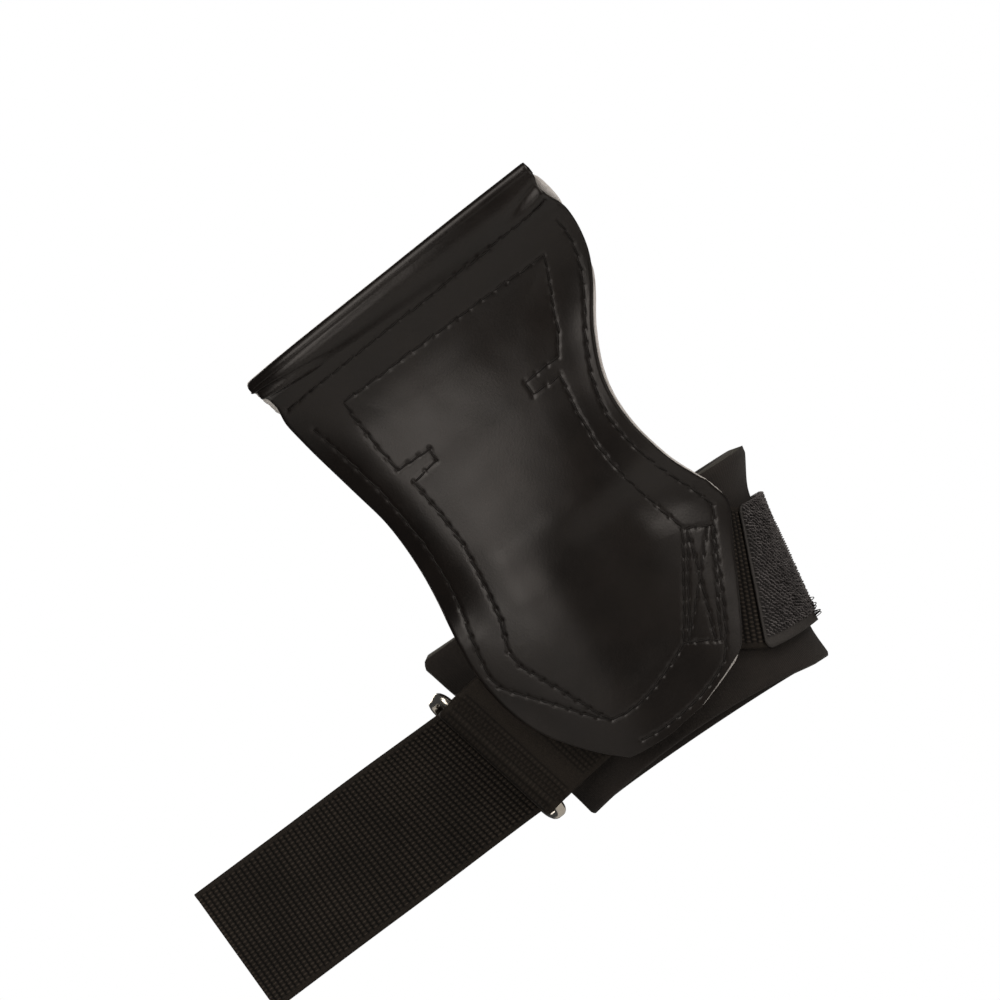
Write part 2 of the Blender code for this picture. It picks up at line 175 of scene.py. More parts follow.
# Seams of the leather as x and z in millimetres, seen from the palm side.
INNER_RIGHT_SEAM = [
    (14.4, 100.4), (34.7, 101.1), (33.5, 97.8), (29.1, 88.6), (26.5, 82.1), (23.0, 77.0), (12.1, 76.2),
    (11.9, 72.2), (20.9, 72.7), (19.2, 62.3), (18.6, 52), (19.8, 41.5), (22.7, 30.2), (25.1, 21.1),
]
INNER_TOP_SEAM = [(14.4, 100.4), (-8, 99.5), (-30.4, 98.6)]
INNER_LEFT_SEAM = [
    (-30.4, 98.6), (-30.2, 92), (-29.7, 84.2), (-28.6, 76), (-18.2, 76), (-18.7, 72.2), (-26.7, 71.1),
    (-25.6, 60), (-25.2, 50), (-26.1, 41.4), (-28.1, 28), (-31.2, 20), (-30.7, 15.3), (-26.2, 5.8),
    (-21.7, -4), (-18.6, -10),
]
HEEL_SEAM = [(-18.6, -10), (-13.5, -10.6), (-5.4, -9.5), (2.5, -6.5), (8.7, -3.9)]
LOWER_LEFT_SEAM = [(-39.2, 17.5), (-38.1, 13), (-33.5, 7.4), (-27.4, 0.1), (-21.8, -6.9), (-18.6, -10)]
OUTER_LEFT_SEAM = [
    (-40.9, 97), (-38.9, 89.2), (-37.4, 82.8), (-35.7, 75.4), (-34.6, 67.2), (-33.7, 56.5), (-33.8, 47.1),
    (-34.6, 40), (-36.8, 30), (-38.4, 22.8), (-39.2, 17.5),
]
OUTER_RIGHT_SEAM = [
    (42.6, 107), (42.7, 99.2), (39.9, 90.5), (35.2, 82.8), (30.4, 74.5), (26.9, 66), (25.2, 57), (26.5, 46),
    (29.9, 36), (34.5, 25.1), (35.4, 21.6), (33.0, 17.6), (27.7, 7.6), (21.3, -4.3), (17.1, -11.2),
    (13.8, -14.5), (6, -17.4), (-2, -19), (-9, -19.4), (-15, -18.8),
]
BOX_CORNERS = [(25.1, 21.1), (32.3, 17.5), (17.1, -8.7), (8.6, -3.8)]
HEM_SEAM = [(-43.7, 105.2), (-33, 105.8), (-10, 107.6), (15, 109.4), (33.8, 111), (42.4, 112.2)]


# The hook tape, the webbing's ribs and beads, the knit's loops and the stitches.
PATCH_HALF = STRAP_WIDTH / 2 + 0.6 * MM
TAPE = 0.6 * MM
LOWER_BORDER = 3.2 * MM
SIDE_BORDER = 1.1 * MM
HOOK_PITCH = 1.3 * MM
HOOK_LEAN = math.radians(40)
RIB_PITCH = 1.6 * MM
RIB_DEPTH = 0.32 * MM
BEAD_PITCH = 1.15 * MM
PULLED_HOOKS = 9
PULLED_DEPTH = 4.5 * MM
PULLED_FROM = math.radians(82)
PULLED_TO = math.radians(94)
KNIT_WALE = 0.55 * MM
KNIT_COURSE = 0.42 * MM
STITCH_PITCH = 3.8 * MM


def unit(vectors):
    """Vectors made one long."""
    return vectors / np.maximum(np.linalg.norm(vectors, axis=-1, keepdims=True), 1e-12)


def smooth_step(value, start, end):
    """0 before start, 1 after end, and a smooth rise between them."""
    share = np.clip((value - start) / (end - start), 0, 1)
    return share * share * (3 - 2 * share)


def bell(value):
    """1 at zero, falling smoothly to nothing on both sides."""
    return np.exp(-(value**2))


def round_corner(away, radius):
    """How far a corner of a radius drops at each distance from its end."""
    near = np.clip(radius - away, 0, radius)
    return radius - np.sqrt(np.maximum(0, radius**2 - near**2))


def smooth_min(a, b, width):
    """The smaller of two values, eased over a width where they are close."""
    closeness = np.maximum(0, 1 - np.abs(a - b) / width)
    return np.minimum(a, b) - closeness**2 * width / 4


def read_rows(positions, values, at):
    """A smooth curve through rows of values, read at each place of an array."""
    positions, values = np.asarray(positions, float), np.asarray(values, float)
    at = np.clip(np.asarray(at, float), positions[0], positions[-1])
    i = np.clip(np.searchsorted(positions, at, side="right") - 1, 0, len(positions) - 2)
    before = np.maximum(np.arange(len(positions)) - 1, 0)
    after = np.minimum(np.arange(len(positions)) + 1, len(positions) - 1)
    run = positions[after] - positions[before]
    extra = values.ndim - 1
    slopes = (values[after] - values[before]) / run.reshape(-1, *[1] * extra)
    spread_out = np.shape(i) + (1,) * extra
    span = np.reshape(positions[i + 1] - positions[i], spread_out)
    t = np.reshape((at - positions[i]) / (positions[i + 1] - positions[i]), spread_out)
    return (
        values[i] * (2 * t**3 - 3 * t**2 + 1)
        + slopes[i] * span * (t**3 - 2 * t**2 + t)
        + values[i + 1] * (3 * t**2 - 2 * t**3)
        + slopes[i + 1] * span * (t**3 - t**2)
    )


def read_table(rows, at):
    """The columns of a table after its first, read at each value of the first."""
    columns = list(zip(*rows))
    return [read_rows(columns[0], column, at) for column in columns[1:]]


def inner_wrist(angle, z):
    """Points of the cuff's inner face."""
    thumb_side, flap, little_side, front, back, lip = read_table(CUFF_ROWS, (z - CUFF_BOTTOM) / CUFF_HEIGHT)
    half_width = np.where(angle <= math.pi, thumb_side, little_side)
    half_width = WRIST_HALF_WIDTH * np.where(angle < 0, flap, half_width)
    half_depth = WRIST_HALF_DEPTH * np.where(np.abs(angle) <= math.pi / 2, front, back)
    lip = CUFF_LIP * lip * smooth_step(np.abs(angle), LIP_FROM, LIP_FULL)
    sine, cosine, level = np.broadcast_arrays(np.sin(angle), np.cos(angle), z)
    out = unit(np.stack([sine / half_width, -cosine / half_depth, np.zeros_like(sine)], -1))
    return np.stack([half_width * sine, -half_depth * cosine, level], -1) + out * lip[..., None]


def on_cuff(angle, z, lift):
    """Points that stand lift outside the cuff's inner face."""
    turn, rise = math.radians(0.5), 0.2 * MM
    around = inner_wrist(angle + turn, z) - inner_wrist(angle - turn, z)
    up = inner_wrist(angle, z + rise) - inner_wrist(angle, z - rise)
    return inner_wrist(angle, z) + unit(np.cross(around, up)) * np.asarray(lift)[..., None]


def front_of_cuff(x, z, lift):
    """The y of the surface that stands lift outside the cuff, on the palm side, at x and z."""
    height = z
    for _ in range(3):
        low, high = np.full(x.shape, -FRONT_REACH), np.full(x.shape, FRONT_REACH)
        for _ in range(15):
            middle = (low + high) / 2
            point = on_cuff(middle, height, lift)
            short = point[..., 0] < x
            low, high = np.where(short, middle, low), np.where(short, high, middle)
        height = height + z - point[..., 2]
    return point[..., 1] + np.maximum(0, np.abs(x) - np.abs(point[..., 0]))


STRAP_LIFT = CUFF_WALL + WEBBING_GAP / 2
REAR_TAB_LIFT = CUFF_WALL + WEBBING_GAP + WEBBING
FRONT_TAB_LIFT = REAR_TAB_LIFT + LAYER_GAP
BACKING_OVER_STRAP = CUFF_WALL + WEBBING_GAP + WEBBING + WEBBING_GAP
BACKING_OVER_TAB = FRONT_TAB_LIFT + WEBBING + WEBBING_GAP


def ring_frame():
    """The middle of the ring's inner bar, and the ring's directions: up, left, back and across it."""
    up = np.array([-math.sin(RING_LEAN), 0, math.cos(RING_LEAN)])
    left = np.array([-math.cos(RING_LEAN), 0, -math.sin(RING_LEAN)])
    back = np.array([0.0, 1.0, 0.0])
    corner = on_cuff(np.array(CUFF_FRONT_END), np.array(RING_HEIGHT), CUFF_WALL)
    inner_bar = np.array([corner[0] - RING_FROM_CUFF, corner[1] - RING_FORWARD, RING_HEIGHT])
    across = left * math.cos(RING_TURN) + back * math.sin(RING_TURN)
    return inner_bar, up, left, back, across


INNER_BAR, RING_UP, RING_LEFT, RING_BACK, RING_ACROSS = ring_frame()


def palm_base(u, v):
    """Points of the suede's hand side: u runs from left to right, v from heel to fingers."""
    steps = np.arange(len(PALM_EDGES)) / (len(PALM_EDGES) - 1)
    left_x, left_z, right_x, right_z = (read_rows(steps, column, v) for column in zip(*PALM_EDGES))
    x = PALM_WIDTH * (left_x + (right_x - left_x) * u)
    share = left_z + (right_z - left_z) * u
    z = PALM_HEEL + PALM_LENGTH * share
    z = z - HEEL_BOW * 4 * u * (1 - u) * (1 - smooth_step(v, 0, 0.25))
    left, middle, right = read_table(HAND_ROWS, share)
    hand = PALM_DEPTH * (left * (1 - u) * (1 - 2 * u) + middle * 4 * u * (1 - u) + right * u * (2 * u - 1))
    hand = hand - LEFT_ROLL * np.maximum(0, 1 - u / ROLL_SHARE) ** 2
    hand = hand + RIGHT_LIFT * np.maximum(0, 1 - (1 - u) / LIFT_SHARE) ** 2

    cuff_top = CUFF_BOTTOM + CUFF_HEIGHT
    above = smooth_step(z, cuff_top - HEEL_BLEND / 4, cuff_top + HEEL_BLEND * 3 / 4)
    over_strap = smooth_step(x / PALM_WIDTH, *TAB_TO_STRAP)
    lift = BACKING_OVER_TAB + (BACKING_OVER_STRAP - BACKING_OVER_TAB) * over_strap
    heel = -hand
    low = above < 1
    heel[low] = front_of_cuff(x[low], z[low], lift[low])
    over_tab = INNER_BAR[1] - TAB_FOLD - WEBBING - WEBBING_GAP
    heel = np.where(x < 0, smooth_min(heel, over_tab, TAB_EASE), heel)
    return np.stack([x, heel * (1 - above) - hand * above, z], -1)


def grid_of(v, columns):
    """On a grid, the v of each row and the u of each column, from 0 to 1."""
    return np.meshgrid(v, np.linspace(0, 1, columns), indexing="ij")


def grid_frame(points):
    """The upward tangents and the outward normals of a grid whose rows go up and columns to the right."""
    cell = np.cross(points[1:, 1:] - points[:-1, :-1], points[1:, :-1] - points[:-1, 1:])
    out = np.zeros_like(points)
    upper, lower = slice(1, None), slice(None, -1)
    for rows, columns in ((upper, upper), (lower, upper), (upper, lower), (lower, lower)):
        out[rows, columns] += cell
    return unit(np.gradient(points, axis=0)), unit(out)


def soften(values, rounds):
    """A grid's values evened out with their neighbours, its rim left in place along itself."""
    values = values.copy()
    for _ in range(rounds):
        values[1:-1] = (values[:-2] + 2 * values[1:-1] + values[2:]) / 4
        values[:, 1:-1] = (values[:, :-2] + 2 * values[:, 1:-1] + values[:, 2:]) / 4
    return values


def distances(rows):
    """Running length along a line of points."""
    return np.concatenate([[0], np.cumsum(np.linalg.norm(np.diff(rows, axis=0), axis=-1))])


def even_points(line, pitch):
    """Points along a line, spread evenly at about a pitch."""
    along = distances(line)
    count = max(2, round(along[-1] / pitch) + 1)
    at = np.linspace(0, along[-1], count)
    return np.stack([np.interp(at, along, line[:, k]) for k in range(line.shape[1])], -1)


def hidden_cells(number, step):
    """Large cells for a grid's hidden side, which still use every point of its rim."""
    rows, columns = number.shape
    row_marks = sorted({*range(0, rows, step), rows - 1})
    column_marks = sorted({*range(0, columns, step), columns - 1})
    cells = []
    for low, high in zip(row_marks, row_marks[1:]):
        for left, right in zip(column_marks, column_marks[1:]):
            bottom = number[low, left:right + 1] if low == 0 else number[low, [left, right]]
            top = number[high, left:right + 1] if high == rows - 1 else number[high, [left, right]]
            near = number[low + 1:high, left] if left == 0 else []
            far = number[low + 1:high, right] if right == columns - 1 else []
            cells.append([*near, *top, *far[::-1], *bottom[::-1]])
    return cells


def build_shell(name, front, back, flat, looks, hidden_step=1):
    """A closed wall between two grids, with its flat sizes as a UV map and looks for its face and rim."""
    rows, columns = front.shape[:2]
    number = np.arange(rows * columns).reshape(rows, columns)
    quads = np.stack([number[:-1, :-1], number[:-1, 1:], number[1:, 1:], number[1:, :-1]], -1).reshape(-1, 4)
    edge = np.concatenate([number[0, :-1], number[:-1, -1], number[-1, :0:-1], number[:0:-1, 0]])
    after = np.roll(edge, -1)
    rim = np.stack([after, edge, edge + rows * columns, after + rows * columns], -1)
    faces = [*quads.tolist(), *hidden_cells(number + rows * columns, hidden_step), *rim.tolist()]
    mesh = bpy.data.meshes.new(name)
    mesh.from_pydata(np.concatenate([front.reshape(-1, 3), back.reshape(-1, 3)]).tolist(), [], faces)
    layer = mesh.uv_layers.new(name="flat")
    both = np.concatenate([flat.reshape(-1, 2)] * 2)
    corners = np.array([corner for face in faces for corner in face])
    layer.uv.foreach_set("vector", both[corners].astype(np.float32).reshape(-1))
    mesh.shade_smooth()
    material_numbers = np.zeros(len(faces), np.int32)
    material_numbers[-len(rim):] = 1
    mesh.polygons.foreach_set("material_index", material_numbers)
    if hidden_step > 1:
        shape = bmesh.new()
        shape.from_mesh(mesh)
        bmesh.ops.delete(shape, geom=[v for v in shape.verts if not v.link_faces], context="VERTS")
        shape.to_mesh(mesh)
        shape.free()
    return link(name, mesh, *looks)


def link(name, mesh, *materials):
    """An object in the scene for a mesh, with its materials."""
    made = bpy.data.objects.new(name, mesh)
    bpy.context.scene.collection.objects.link(made)
    for material in materials:
        made.data.materials.append(material)
    return made


def ripple(points, size, seed):
    """Smooth uneven values between about -1 and 1 for points, from a few crossing waves."""
    chance = np.random.default_rng(seed)
    total = np.zeros(points.shape[:-1])
    waves = 7
    for _ in range(waves):
        direction = unit(chance.normal(size=3)) * chance.uniform(0.6, 1.5) * 2 * math.pi / size
        total += np.sin(points @ direction + chance.uniform(0, 2 * math.pi))
    return total / math.sqrt(waves)


# Node trees

class Value:
    """A node's output, on which a formula makes math nodes."""

    def __init__(self, socket):
        self.socket = socket
        self.tree = socket.id_data

    def math(self, operation, *others):
        """The value after a math node, whose further inputs are the others."""
        inputs = {f"i{k}": value for k, value in enumerate((self, *others))}
        return output(self.tree, "ShaderNodeMath", operation=operation, **inputs)

    def __add__(self, other):
        return self.math("ADD", other)

    def __sub__(self, other):
        return self.math("SUBTRACT", other)

    def __rsub__(self, other):
        return output(self.tree, "ShaderNodeMath", operation="SUBTRACT", i0=other, i1=self)

    def __mul__(self, other):
        return self.math("MULTIPLY", other)

    def __truediv__(self, other):
        return self.math("DIVIDE", other)


def add_node(tree, kind, **given):
    """A node. Names in small letters are its settings, other names its sockets, and i0 is the first one."""
    node = tree.nodes.new(kind)
    settings = {name: value for name, value in given.items() if name.islower() and not name[1:].isdigit()}
    for name, value in settings.items():
        setattr(node, name, value)
    for name, value in given.items():
        if name in settings:
            continue
        socket = node.inputs[int(name[1:]) if name[1:].isdigit() else name]
        if isinstance(value, Value):
            tree.links.new(value.socket, socket)
        else:
            socket.default_value = value
    return node


def output(tree, kind, pick=0, **given):
    """One output of a new node."""
    return Value(add_node(tree, kind, **given).outputs[pick])


# Materials

def new_material(name, colour, roughness, metallic=0.0, specular=0.5, sheen=0.0):
    """A material with the plain sockets of its shader set, and its tree."""
    material = bpy.data.materials.new(name)
    material.use_nodes = True
    inputs = material.node_tree.nodes["Principled BSDF"].inputs
    inputs["Base Color"].default_value = (*colour, 1)
    inputs["Roughness"].default_value = roughness
    inputs["Metallic"].default_value = metallic
    inputs["Specular IOR Level"].default_value = specular
    inputs["Sheen Weight"].default_value = sheen
    return material, material.node_tree


def coat(material, colour, normal=None, roughness=None):
    """The material with its colour, and where given its normal and roughness, from nodes."""
    shader = material.node_tree.nodes["Principled BSDF"]
    for title, value in (("Base Color", colour), ("Normal", normal), ("Roughness", roughness)):
        if value is not None:
            material.node_tree.links.new(value.socket, shader.inputs[title])
    return material


def object_place(tree):
    """The piece's own coordinates."""
    return output(tree, "ShaderNodeTexCoord", "Object")


def flat_place(tree):
    """The place on the piece laid flat, in metres: as a vector, along it and across it."""
    flat = output(tree, "ShaderNodeUVMap", "UV", uv_map="flat")
    split = add_node(tree, "ShaderNodeSeparateXYZ", Vector=flat).outputs
    return flat, Value(split["X"]), Value(split["Y"])


def noise(tree, size, detail, roughness=0.5):
    """Noise with features of a given size on the piece's own coordinates."""
    place = object_place(tree)
    given = {"Vector": place, "Scale": 1 / size, "Detail": float(detail), "Roughness": roughness}
    return output(tree, "ShaderNodeTexNoise", "Fac", **given)


def cells(place, size):
    """How far each place is from the middle of its cell, for uneven cells of a given size."""
    return output(place.tree, "ShaderNodeTexVoronoi", "Distance", Vector=place, Scale=1 / size)


def blend_colours(factor, low, high, start=0.3, end=0.7):
    """A colour that goes from low to high as the factor goes from start to end."""
    ramp = add_node(factor.tree, "ShaderNodeValToRGB", Fac=factor)
    for element, colour, position in zip(ramp.color_ramp.elements, (low, high), (start, end)):
        element.color = (*colour, 1)
        element.position = position
    return Value(ramp.outputs["Color"])


def spread(factor, low, high):
    """A value moved from 0..1 to low..high."""
    return output(factor.tree, "ShaderNodeMapRange", i0=factor, i3=low, i4=high)


def bump(height, distance, strength):
    """A bump of a given depth in metres."""
    given = {"Height": height, "Distance": distance, "Strength": strength}
    return output(height.tree, "ShaderNodeBump", "Normal", **given)


def leather_material():
    """Black coated leather: satin, with a very fine grain, faint wear and uneven gloss."""
    material, tree = new_material("black_leather", (0.006, 0.0045, 0.0037), 0.34)
    fine = noise(tree, 0.35 * MM, 2)
    broad = noise(tree, 14 * MM, 4)
    colour = blend_colours(broad, (0.0042, 0.0027, 0.0019), (0.0085, 0.0058, 0.0043))
    grain = cells(object_place(tree), 0.6 * MM) + spread(fine, 0, 0.5)
    gloss = spread(broad, 0.30, 0.38) + spread(fine, -0.02, 0.02)
    return coat(material, colour, bump(grain, 0.03 * MM, 0.4), gloss)


def suede_material():
    """The pale raw side: fibrous, matt and slightly mottled."""
    material, tree = new_material("pale_suede", (0.6, 0.57, 0.52), 0.95, specular=0.2, sheen=0.25)
    fibre = noise(tree, 0.5 * MM, 6, 0.7)
    patches = noise(tree, 9 * MM, 3)
    colour = blend_colours(fibre * 0.6 + patches * 0.4, (0.62, 0.60, 0.57), (0.95, 0.94, 0.93))
    return coat(material, colour, bump(fibre, 0.18 * MM, 0.8))


def knit_material():
    """The cuff's black knit face on foam: fine columns of loops, matt, with a soft sheen."""
    material, tree = new_material("black_knit", (0.019, 0.014, 0.011), 0.82, specular=0.35, sheen=0.12)
    _, along, across = flat_place(tree)
    columns = (along * (2 * math.pi / KNIT_WALE)).math("COSINE")
    loops = (across * (2 * math.pi / KNIT_COURSE) + columns * 1.6).math("SINE")
    fuzz = noise(tree, 0.3 * MM, 4, 0.6)
    broad = noise(tree, 12 * MM, 3)
    colour = blend_colours(broad, (0.0095, 0.0073, 0.0059), (0.0165, 0.0128, 0.0104))
    return coat(material, colour, bump(loops * 0.5 + columns * 0.5 + fuzz, 0.04 * MM, 0.7))


def foam_material():
    """The cut edge of the cuff's foam: dark grey, with fine open cells."""
    material, tree = new_material("cut_foam", (0.045, 0.043, 0.038), 0.85, specular=0.3)
    pores = cells(object_place(tree), 0.32 * MM)
    colour = blend_colours(pores, (0.03, 0.029, 0.025), (0.09, 0.088, 0.077), 0.1, 0.6)
    return coat(material, colour, bump(pores, 0.1 * MM, 0.7))


def cut_leather_material():
    """The raw cut edge of the black leather: dark, matt and fibrous."""
    material, tree = new_material("cut_leather", (0.02, 0.018, 0.016), 0.85, specular=0.25)
    fibre = noise(tree, 0.3 * MM, 4, 0.6)
    colour = blend_colours(fibre, (0.010, 0.009, 0.008), (0.045, 0.04, 0.036))
    return coat(material, colour, bump(fibre, 0.12 * MM, 0.8))


def webbing_material():
    """Black ribbed elastic webbing: small beads of yarn along each rib, staggered from rib to rib, coloured
    lighter on the bead tops and darker between the ribs as painted highlight and painted shade.
    """
    material, tree = new_material("black_webbing", (0.01, 0.008, 0.0065), 0.7, specular=0.14, sheen=0.02)
    _, along, across = flat_place(tree)
    ribbed = output(tree, "ShaderNodeAttribute", "Fac", attribute_name="ribbed")
    rib = along / RIB_PITCH
    rib_wave = (rib * math.pi).math("SINE").math("ABSOLUTE")
    stagger = rib.math("FLOOR").math("MODULO", 2.0) * 0.5
    bead_wave = ((across / BEAD_PITCH + stagger) * (2 * math.pi)).math("COSINE")
    beads = (bead_wave * 0.5 + 0.5).math("POWER", 2.2)
    rise = beads * rib_wave * ribbed
    yarn = noise(tree, 0.25 * MM, 3, 0.6)
    worn = spread(noise(tree, 16 * MM, 3), 0.35, 1.1)
    # Painted highlight on the bead tops and rib crests and painted shade in the gaps between the ribs, taken
    # from the bead and rib heights.
    painted_rib_highlight_and_shade = (rise + rib_wave * 0.35) * worn * ribbed
    plain_tone = (1.0 - ribbed) * (yarn * 0.75)
    # The colours of the painted shade in the gaps and of the painted highlight on the beads.
    dark, light = (0.0008, 0.0007, 0.0005), (0.056, 0.046, 0.037)
    colour = blend_colours(painted_rib_highlight_and_shade + plain_tone, dark, light, 0.05, 1.0)
    return coat(material, colour, bump(rise + yarn * 0.4, 0.22 * MM, 0.9))


def tape_material():
    """The hook tape's woven ground: dark between the hooks, greyer along its plain edges."""
    material, tree = new_material("hook_tape", (0.028, 0.027, 0.03), 0.6)
    flat, along, across = flat_place(tree)
    weave = cells(flat, 0.5 * MM)
    low_edge = (across + PATCH_HALF).math("LESS_THAN", LOWER_BORDER - 0.2 * MM)
    side_edge = along.math("LESS_THAN", SIDE_BORDER * 0.6)
    worn = low_edge.math("MAXIMUM", side_edge) * 0.8 + weave * 0.3
    colour = blend_colours(worn, (0.006, 0.005, 0.005), (0.03, 0.027, 0.025), 0.0, 1.0)
    return coat(material, colour, bump(weave, 0.1 * MM, 0.7))


def hook_material():
    """The glossy nylon of the hooks."""
    material, tree = new_material("nylon_hooks", (0.05, 0.047, 0.05), 0.32)
    tint = noise(tree, 3 * MM, 2)
    colour = blend_colours(tint, (0.06, 0.056, 0.057), (0.17, 0.16, 0.162))
    return coat(material, colour, roughness=spread(tint, 0.28, 0.42))


def thread_material():
    """Black polyester sewing thread: twisted, with a soft gloss."""
    material, tree = new_material("black_thread", (0.006, 0.0045, 0.0036), 0.55, specular=0.3)
    twist = noise(tree, 0.22 * MM, 2)
    colour = blend_colours(twist, (0.0024, 0.0017, 0.0013), (0.009, 0.0068, 0.0055))
    return coat(material, colour, bump(twist, 0.08 * MM, 0.8))


def nickel_material():
    """Bright nickel plate with faint rubbing marks."""
    material, tree = new_material("nickel", (0.78, 0.76, 0.71), 0.16, metallic=1.0)
    rub = noise(tree, 2.5 * MM, 3)
    colour = blend_colours(rub, (0.66, 0.63, 0.56), (0.80, 0.77, 0.70))
    return coat(material, colour, roughness=spread(rub, 0.14, 0.24))


def floor_material():
    """A plain pale floor."""
    material, tree = new_material("pale_floor", (0.82, 0.82, 0.81), 0.7)
    return coat(material, blend_colours(noise(tree, 0.2, 3), (0.80, 0.80, 0.79), (0.84, 0.84, 0.83)))


# Geometry Nodes

SOCKET_KINDS = {float: "NodeSocketFloat", int: "NodeSocketInt", type(None): "NodeSocketMaterial"}


def new_tree(name, inputs):
    """A geometry tree and its named inputs: the geometry, these with their defaults, and the material."""
    tree = bpy.data.node_groups.new(name, "GeometryNodeTree")
    tree.interface.new_socket("Geometry", in_out="INPUT", socket_type="NodeSocketGeometry")
    for title, default in {**inputs, "Material": None}.items():
        socket = tree.interface.new_socket(title, in_out="INPUT", socket_type=SOCKET_KINDS[type(default)])
        if default is not None:
            socket.default_value = default
    tree.interface.new_socket("Geometry", in_out="OUTPUT", socket_type="NodeSocketGeometry")
    start = tree.nodes.new("NodeGroupInput").outputs
    return tree, {socket.name: Value(socket) for socket in start if socket.name}


def run_tree(piece, tree, values):
    """The piece with its mesh as the tree makes it, and no modifier left."""
    modifier = piece.modifiers.new(tree.name, "NODES")
    modifier.node_group = tree
    names = {item.name: item.identifier for item in tree.interface.items_tree if item.in_out == "INPUT"}
    for title, value in values.items():
        modifier[names[title]] = value
    ready = piece.evaluated_get(bpy.context.evaluated_depsgraph_get())
    made = bpy.data.meshes.new_from_object(ready)
    piece.modifiers.remove(modifier)
    old = piece.data
    piece.data = made
    made.name = old.name
    bpy.data.meshes.remove(old)
    return piece


def finish_tree(tree, given, geometry):
    """The tree, which ends by realizing what it placed and giving it its material."""
    real = output(tree, "GeometryNodeRealizeInstances", Geometry=geometry)
    coated = output(tree, "GeometryNodeSetMaterial", Geometry=real, Material=given["Material"])
    add_node(tree, "NodeGroupOutput", Geometry=coated)
    return tree


def stored(tree, name, kind="FLOAT"):
    """A value kept on the points of a mesh."""
    return output(tree, "GeometryNodeInputNamedAttribute", data_type=kind, Name=name)


def by_chance(tree, low, high, seed):
    """A value between low and high that differs from point to point."""
    return output(tree, "FunctionNodeRandomValue", 1, data_type="FLOAT", i2=low, i3=high, Seed=seed)


def bent_thread(tree, length, radius, rise, dive, sides, steps):
    """A short thread that rises from one end and dives at the other, lying along X."""
    ends = [output(tree, "ShaderNodeCombineXYZ", X=length * share, Z=dive) for share in (-0.5, 0.5)]
    middle = output(tree, "ShaderNodeCombineXYZ", Z=rise)
    bow = {"Resolution": steps, "Start": ends[0], "Middle": middle, "End": ends[1]}
    path = output(tree, "GeometryNodeCurveQuadraticBezier", **bow)
    ring = output(tree, "GeometryNodeCurvePrimitiveCircle", Resolution=sides, Radius=radius)
    return output(tree, "GeometryNodeCurveToMesh", i0=path, i1=ring, **{"Fill Caps": True})


def place_threads(tree, given, thread, slant, size=(1.0, 1.0, 1.0)):
    """The finished tree: the thread on each point, turned as the point says and slanted."""
    facing, heading = (stored(tree, name, "FLOAT_VECTOR") for name in ("facing", "heading"))
    axes = {"primary_axis": "Z", "secondary_axis": "X"}
    turn = output(tree, "FunctionNodeAxesToRotation", i0=facing, i1=heading, **axes)
    twist = output(tree, "FunctionNodeAxisAngleToRotation", Axis=(0.0, 0.0, 1.0), Angle=slant)
    turned = output(tree, "FunctionNodeRotateRotation", rotation_space="LOCAL", i0=turn, i1=twist)
    where = {"Points": given["Geometry"], "Rotation": turned, "Scale": size}
    threads = output(tree, "GeometryNodeInstanceOnPoints", Instance=thread, **where)
    return finish_tree(tree, given, output(tree, "GeometryNodeSetShadeSmooth", Geometry=threads))


def stitch_tree():
    """Sewing stitches on the points of a seam."""
    tree, given = new_tree("stitches", {
        "Stitch Length": STITCH_PITCH * 0.96,
        "Thread Radius": 0.3 * MM,
        "Rise": 0.42 * MM,
        "Dive": -0.3 * MM,
        "Slant": 0.08,
    })
    sizes = (given[title] for title in ("Stitch Length", "Thread Radius", "Rise", "Dive"))
    return place_threads(tree, given, bent_thread(tree, *sizes, sides=7, steps=8), given["Slant"])


def hook_tree():
    """Nylon hooks on the points of the tape, each turned and sized a little by chance."""
    tree, given = new_tree("hooks", {
        "Hook Height": 0.8 * MM,
        "Hook Width": 0.95 * MM,
        "Strand Radius": 0.15 * MM,
        "Unevenness": 0.3,
        "Seed": 7,
    })
    rise = given["Hook Height"] * 2.0
    hook = bent_thread(tree, given["Hook Width"], given["Strand Radius"], rise, -0.1 * MM, sides=4, steps=5)
    slant = by_chance(tree, given["Unevenness"] * -1.0, given["Unevenness"], given["Seed"])
    return place_threads(tree, given, hook, slant, by_chance(tree, 0.75, 1.15, given["Seed"]))


def rib_tree():
    """Ribs across a webbing, pressed into its faces at each pitch of its stored running length."""
    tree, given = new_tree("webbing_ribs", {"Rib Pitch": RIB_PITCH, "Rib Depth": RIB_DEPTH})
    wave = (stored(tree, "along") / given["Rib Pitch"] * math.pi).math("SINE")
    crest = wave.math("ABSOLUTE").math("POWER", 0.7)
    press = (crest - 1.0) * (stored(tree, "ribbed") * given["Rib Depth"])
    normal = output(tree, "GeometryNodeInputNormal")
    offset = output(tree, "ShaderNodeVectorMath", operation="SCALE", Vector=normal, Scale=press)
    moved = output(tree, "GeometryNodeSetPosition", Geometry=given["Geometry"], Offset=offset)
    return finish_tree(tree, given, moved)


def point_cloud(name, places, facing, heading):
    """A piece of loose points that carry the direction they face and the one they head in."""
    mesh = bpy.data.meshes.new(name)
    mesh.from_pydata(places.tolist(), [], [])
    for title, vectors in (("facing", facing), ("heading", heading)):
        layer = mesh.attributes.new(title, "FLOAT_VECTOR", "POINT")
        layer.data.foreach_set("vector", vectors.astype(np.float32).reshape(-1))
    return link(name, mesh)


LEATHER_LOOK = leather_material()
SUEDE_LOOK = suede_material()
CUT_LEATHER_LOOK = cut_leather_material()
KNIT_LOOK = knit_material()
FOAM_LOOK = foam_material()
WEBBING_LOOK = webbing_material()
TAPE_LOOK = tape_material()
HOOK_LOOK = hook_material()
THREAD_LOOK = thread_material()
NICKEL_LOOK = nickel_material()
STITCHES = stitch_tree()
HOOKS = hook_tree()
RIBS = rib_tree()


# The palm

